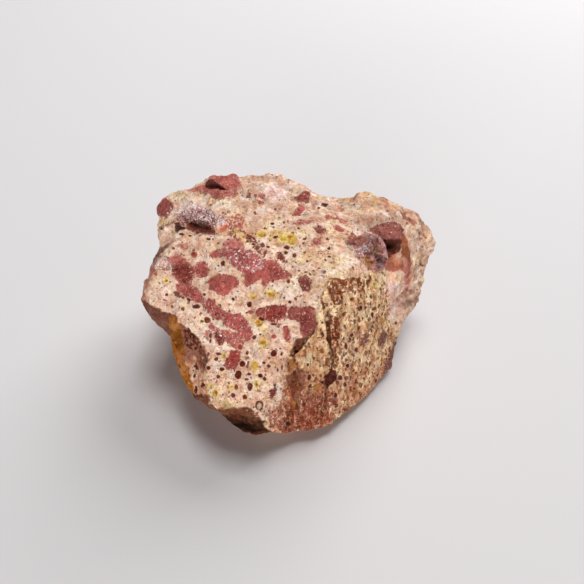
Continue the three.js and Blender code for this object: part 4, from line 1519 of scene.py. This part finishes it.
def with_clasts(nodes, rock, colour):
    """The colour with the clasts on it, flecked near their rims, and how much of a clast is here."""
    clast = nodes.attribute("clast_tint", "Color")
    # Wide and finer changes of shade, and the tiny grains of the rock.
    clast = nodes.tinted(clast, linear(214, 190, 190), nodes.rise(rock.broad, 0.45, 0.6, 0.0, 0.9))
    clast = nodes.mix(nodes.rise(rock.medium, 0.52, 0.68, 0.0, 0.4), clast, PINK_RED)
    clast = nodes.tinted(clast, linear(196, 160, 152), nodes.rise(rock.medium, 0.47, 0.34, 0.0, 0.9))
    clast = granular(nodes, clast, rock.bent, 1.3, 0.12)
    clast = granular(nodes, clast, rock.bent, 3.1, 0.16)
    clast = nodes.scaled(clast, nodes.rise(rock.fine, 0.3, 0.7, 0.85, 1.15))
    # A few small grains, and pale flecks that are thicker near the rim.
    spot, tint, _ = speckles(nodes, rock.bent, 1.1, 0.22, 0.3)
    clast = nodes.mix(nodes.maths("MULTIPLY", spot, 0.6), clast, tint)
    near_rim = nodes.rise(rock.clast_depth, -1.8, 0.0, 0.14, 0.6)
    near_rim = nodes.maths("MULTIPLY", near_rim, nodes.rise(rock.broad, 0.4, 0.6, 0.5, 1.3))
    for per_mm in FLECK_LAYERS:
        fleck = speckles(nodes, rock.shaken, per_mm, near_rim, 0.32)[0]
        clast = nodes.mix(nodes.maths("MULTIPLY", fleck, 0.8), clast, PALE_FLECK)
    # Its rim is ragged.
    ragged = nodes.maths("MULTIPLY", nodes.maths("SUBTRACT", rock.medium, 0.5), 1.9)
    finer = nodes.maths("MULTIPLY", nodes.maths("SUBTRACT", rock.fine, 0.5), 1.6)
    edge = nodes.maths("ADD", rock.clast_depth, nodes.maths("ADD", ragged, finer))
    in_clast = nodes.rise(edge, 0.2, 0.08)
    return nodes.mix(in_clast, colour, clast), in_clast


def with_grains(nodes, rock, colour):
    """The colour with the larger round grains and their pale rims on it, and how much of one is here."""
    grain = nodes.attribute("grain_tint", "Color")
    # Darker towards the middle: partly a darker core and partly painted shade in the sunken grains and
    # pockets.
    grain = nodes.scaled(grain, nodes.rise(rock.grain_depth, -0.5, 0.0, 0.8, 1.1))
    grain = nodes.tinted(grain, linear(214, 160, 110), nodes.rise(rock.medium, 0.44, 0.62, 0.0, 0.9))
    grain = nodes.scaled(grain, nodes.rise(rock.fine, 0.3, 0.7, 0.8, 1.2))
    wavy = nodes.maths("MULTIPLY", nodes.maths("SUBTRACT", rock.medium, 0.5), 0.9)
    edge = nodes.maths("ADD", rock.grain_depth, wavy)
    in_grain = nodes.rise(edge, 0.05, -0.05)
    colour = nodes.mix(nodes.rise(edge, 0.32, 0.06, 0.0, 0.4), colour, PALE_RIM)
    return nodes.mix(in_grain, colour, grain), in_grain


def with_painted_glints(nodes, rock, colour):
    """The colour with clusters of painted glints on it: white specks where pale crystals sparkle."""
    clusters = nodes.rise(nodes.noise(rock.places, 0.9, 2.0), 0.35, 0.55, 0.4, 1.0)
    share = nodes.maths("MULTIPLY", nodes.attribute("painted_glints", "Fac"), clusters)
    for per_mm in GLINT_LAYERS:
        glints = speckles(nodes, rock.shaken, per_mm, share, 0.44)[0]
        colour = nodes.mix(nodes.maths("MULTIPLY", glints, 0.95), colour, GLINT_WHITE)
    return colour


def gloss(nodes, rock, in_clast, in_grain):
    """The roughness and the specular level: dull ground, smoother marks, glints and a glassy crystal."""
    glossy = nodes.attribute("glossy", "Fac")
    lot = nodes.lots(rock.places, 3.0)["Red"]
    glint = nodes.maths("LESS_THAN", lot, nodes.rise(rock.busy, 0.1, 0.4, 0.0, 0.06))
    rough = nodes.mix_number(in_clast, 0.85, 0.6)
    rough = nodes.mix_number(in_grain, rough, 0.5)
    rough = nodes.mix_number(glint, rough, 0.3)
    rough = nodes.mix_number(glossy, rough, 0.16)
    shine = nodes.mix_number(glint, nodes.mix_number(in_clast, 0.03, 0.08), 0.4)
    return rough, nodes.mix_number(glossy, shine, 0.6)


def fine_bump(nodes, rock, spots):
    """The finest roughness, which is too small for the mesh. Small grains lie a little deeper."""
    height = nodes.maths("MULTIPLY", rock.fine, 0.12)
    height = nodes.maths("ADD", height, nodes.maths("MULTIPLY", rock.medium, 0.5))
    tiny_grains = nodes.lots(rock.bent, 2.9)["Green"]
    height = nodes.maths("ADD", height, nodes.maths("MULTIPLY", tiny_grains, 0.05))
    height = nodes.maths("SUBTRACT", height, nodes.maths("MULTIPLY", spots, 0.2))
    height = nodes.maths("MULTIPLY", height, nodes.rise(rock.busy, 0.0, 0.5, 0.35, 1.0))
    return nodes.add("ShaderNodeBump", {"Height": height, "Distance": MM, "Strength": 1.0})


def bauxite():
    """The rock's material."""
    material = bpy.data.materials.new("bauxite")
    material.use_nodes = True
    nodes = Nodes(material)
    rock = Rock(nodes)
    colour, spots = with_speckles(nodes, rock, ground_colour(nodes, rock))
    colour, in_clast = with_clasts(nodes, rock, colour)
    colour, in_grain = with_grains(nodes, rock, colour)
    rough, shine = gloss(nodes, rock, in_clast, in_grain)
    inputs = material.node_tree.nodes["Principled BSDF"].inputs
    nodes.set(inputs["Base Color"], with_painted_glints(nodes, rock, colour))
    nodes.set(inputs["Roughness"], rough)
    nodes.set(inputs["Specular IOR Level"], shine)
    nodes.set(inputs["Normal"], fine_bump(nodes, rock, spots))
    return material


# ---------------------------------------------------------------- the scene

# Sizes and distances in metres here.
FLOOR_SIDE = 6
FLOOR_COLOUR = linear(207, 204, 205)
FLOOR_ROUGHNESS = 0.9
SENSOR_WIDTH = 36
NEAREST_SEEN = 0.005
LIGHT_DISTANCE = 1.5
SURROUNDING_LIGHT = 0.07

# Soft lights: bearing from +Y towards +X and angle above the floor, in degrees, width, depth and watts.
LIGHTS = {
    "window": (33, 35, 1.0, 1.0, 22),
    "ceiling": (15, 75, 0.6, 0.6, 13),
    "fill": (190, 6, 1.2, 0.25, 20),
}


def add_floor():
    """A plain pale floor."""
    bpy.ops.mesh.primitive_plane_add(size=FLOOR_SIDE)
    floor = bpy.context.object
    floor.name = "floor"
    paper = bpy.data.materials.new("pale_paper")
    paper.use_nodes = True
    shader = paper.node_tree.nodes["Principled BSDF"]
    shader.inputs["Base Color"].default_value = (*FLOOR_COLOUR, 1)
    shader.inputs["Roughness"].default_value = FLOOR_ROUGHNESS
    floor.data.materials.append(paper)


def add_camera():
    """The photograph's camera."""
    data = bpy.data.cameras.new("camera")
    data.sensor_width = SENSOR_WIDTH
    data.lens = FOCAL_PIXELS / PHOTO_SIDE * SENSOR_WIDTH
    data.clip_start = NEAREST_SEEN
    camera = bpy.data.objects.new("camera", data)
    camera.location = CAMERA_PLACE * MM
    camera.rotation_euler = (math.pi / 2 - CAMERA_PITCH, 0, 0)
    bpy.context.scene.collection.objects.link(camera)
    bpy.context.scene.camera = camera


def add_light(name, bearing, height, width, depth, watts):
    """A soft light that looks at the stone."""
    data = bpy.data.lights.new(name, "AREA")
    data.shape = "RECTANGLE"
    data.size = width
    data.size_y = depth
    data.energy = watts
    light = bpy.data.objects.new(name, data)
    bearing, height = math.radians(bearing), math.radians(height)
    level = math.cos(height)
    way = Vector((math.sin(bearing) * level, math.cos(bearing) * level, math.sin(height)))
    light.location = way * LIGHT_DISTANCE
    light.rotation_euler = way.to_track_quat("Z", "Y").to_euler()
    bpy.context.scene.collection.objects.link(light)


def add_lights():
    """A faint light from all around, and the soft lights."""
    world = bpy.data.worlds.new("studio")
    world.use_nodes = True
    background = world.node_tree.nodes["Background"]
    background.inputs["Color"].default_value = (1, 1, 1, 1)
    background.inputs["Strength"].default_value = SURROUNDING_LIGHT
    bpy.context.scene.world = world
    for name, (bearing, height, width, depth, watts) in LIGHTS.items():
        add_light(name, bearing, height, width, depth, watts)


stone = bpy.data.objects.new("bauxite_surface", stone_mesh())
bpy.context.scene.collection.objects.link(stone)
stone.data.materials.append(bauxite())
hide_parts("bauxite_stone")
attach(stone, "root")
add_floor()
add_camera()
add_lights()
bpy.context.scene.view_settings.view_transform = "Standard"
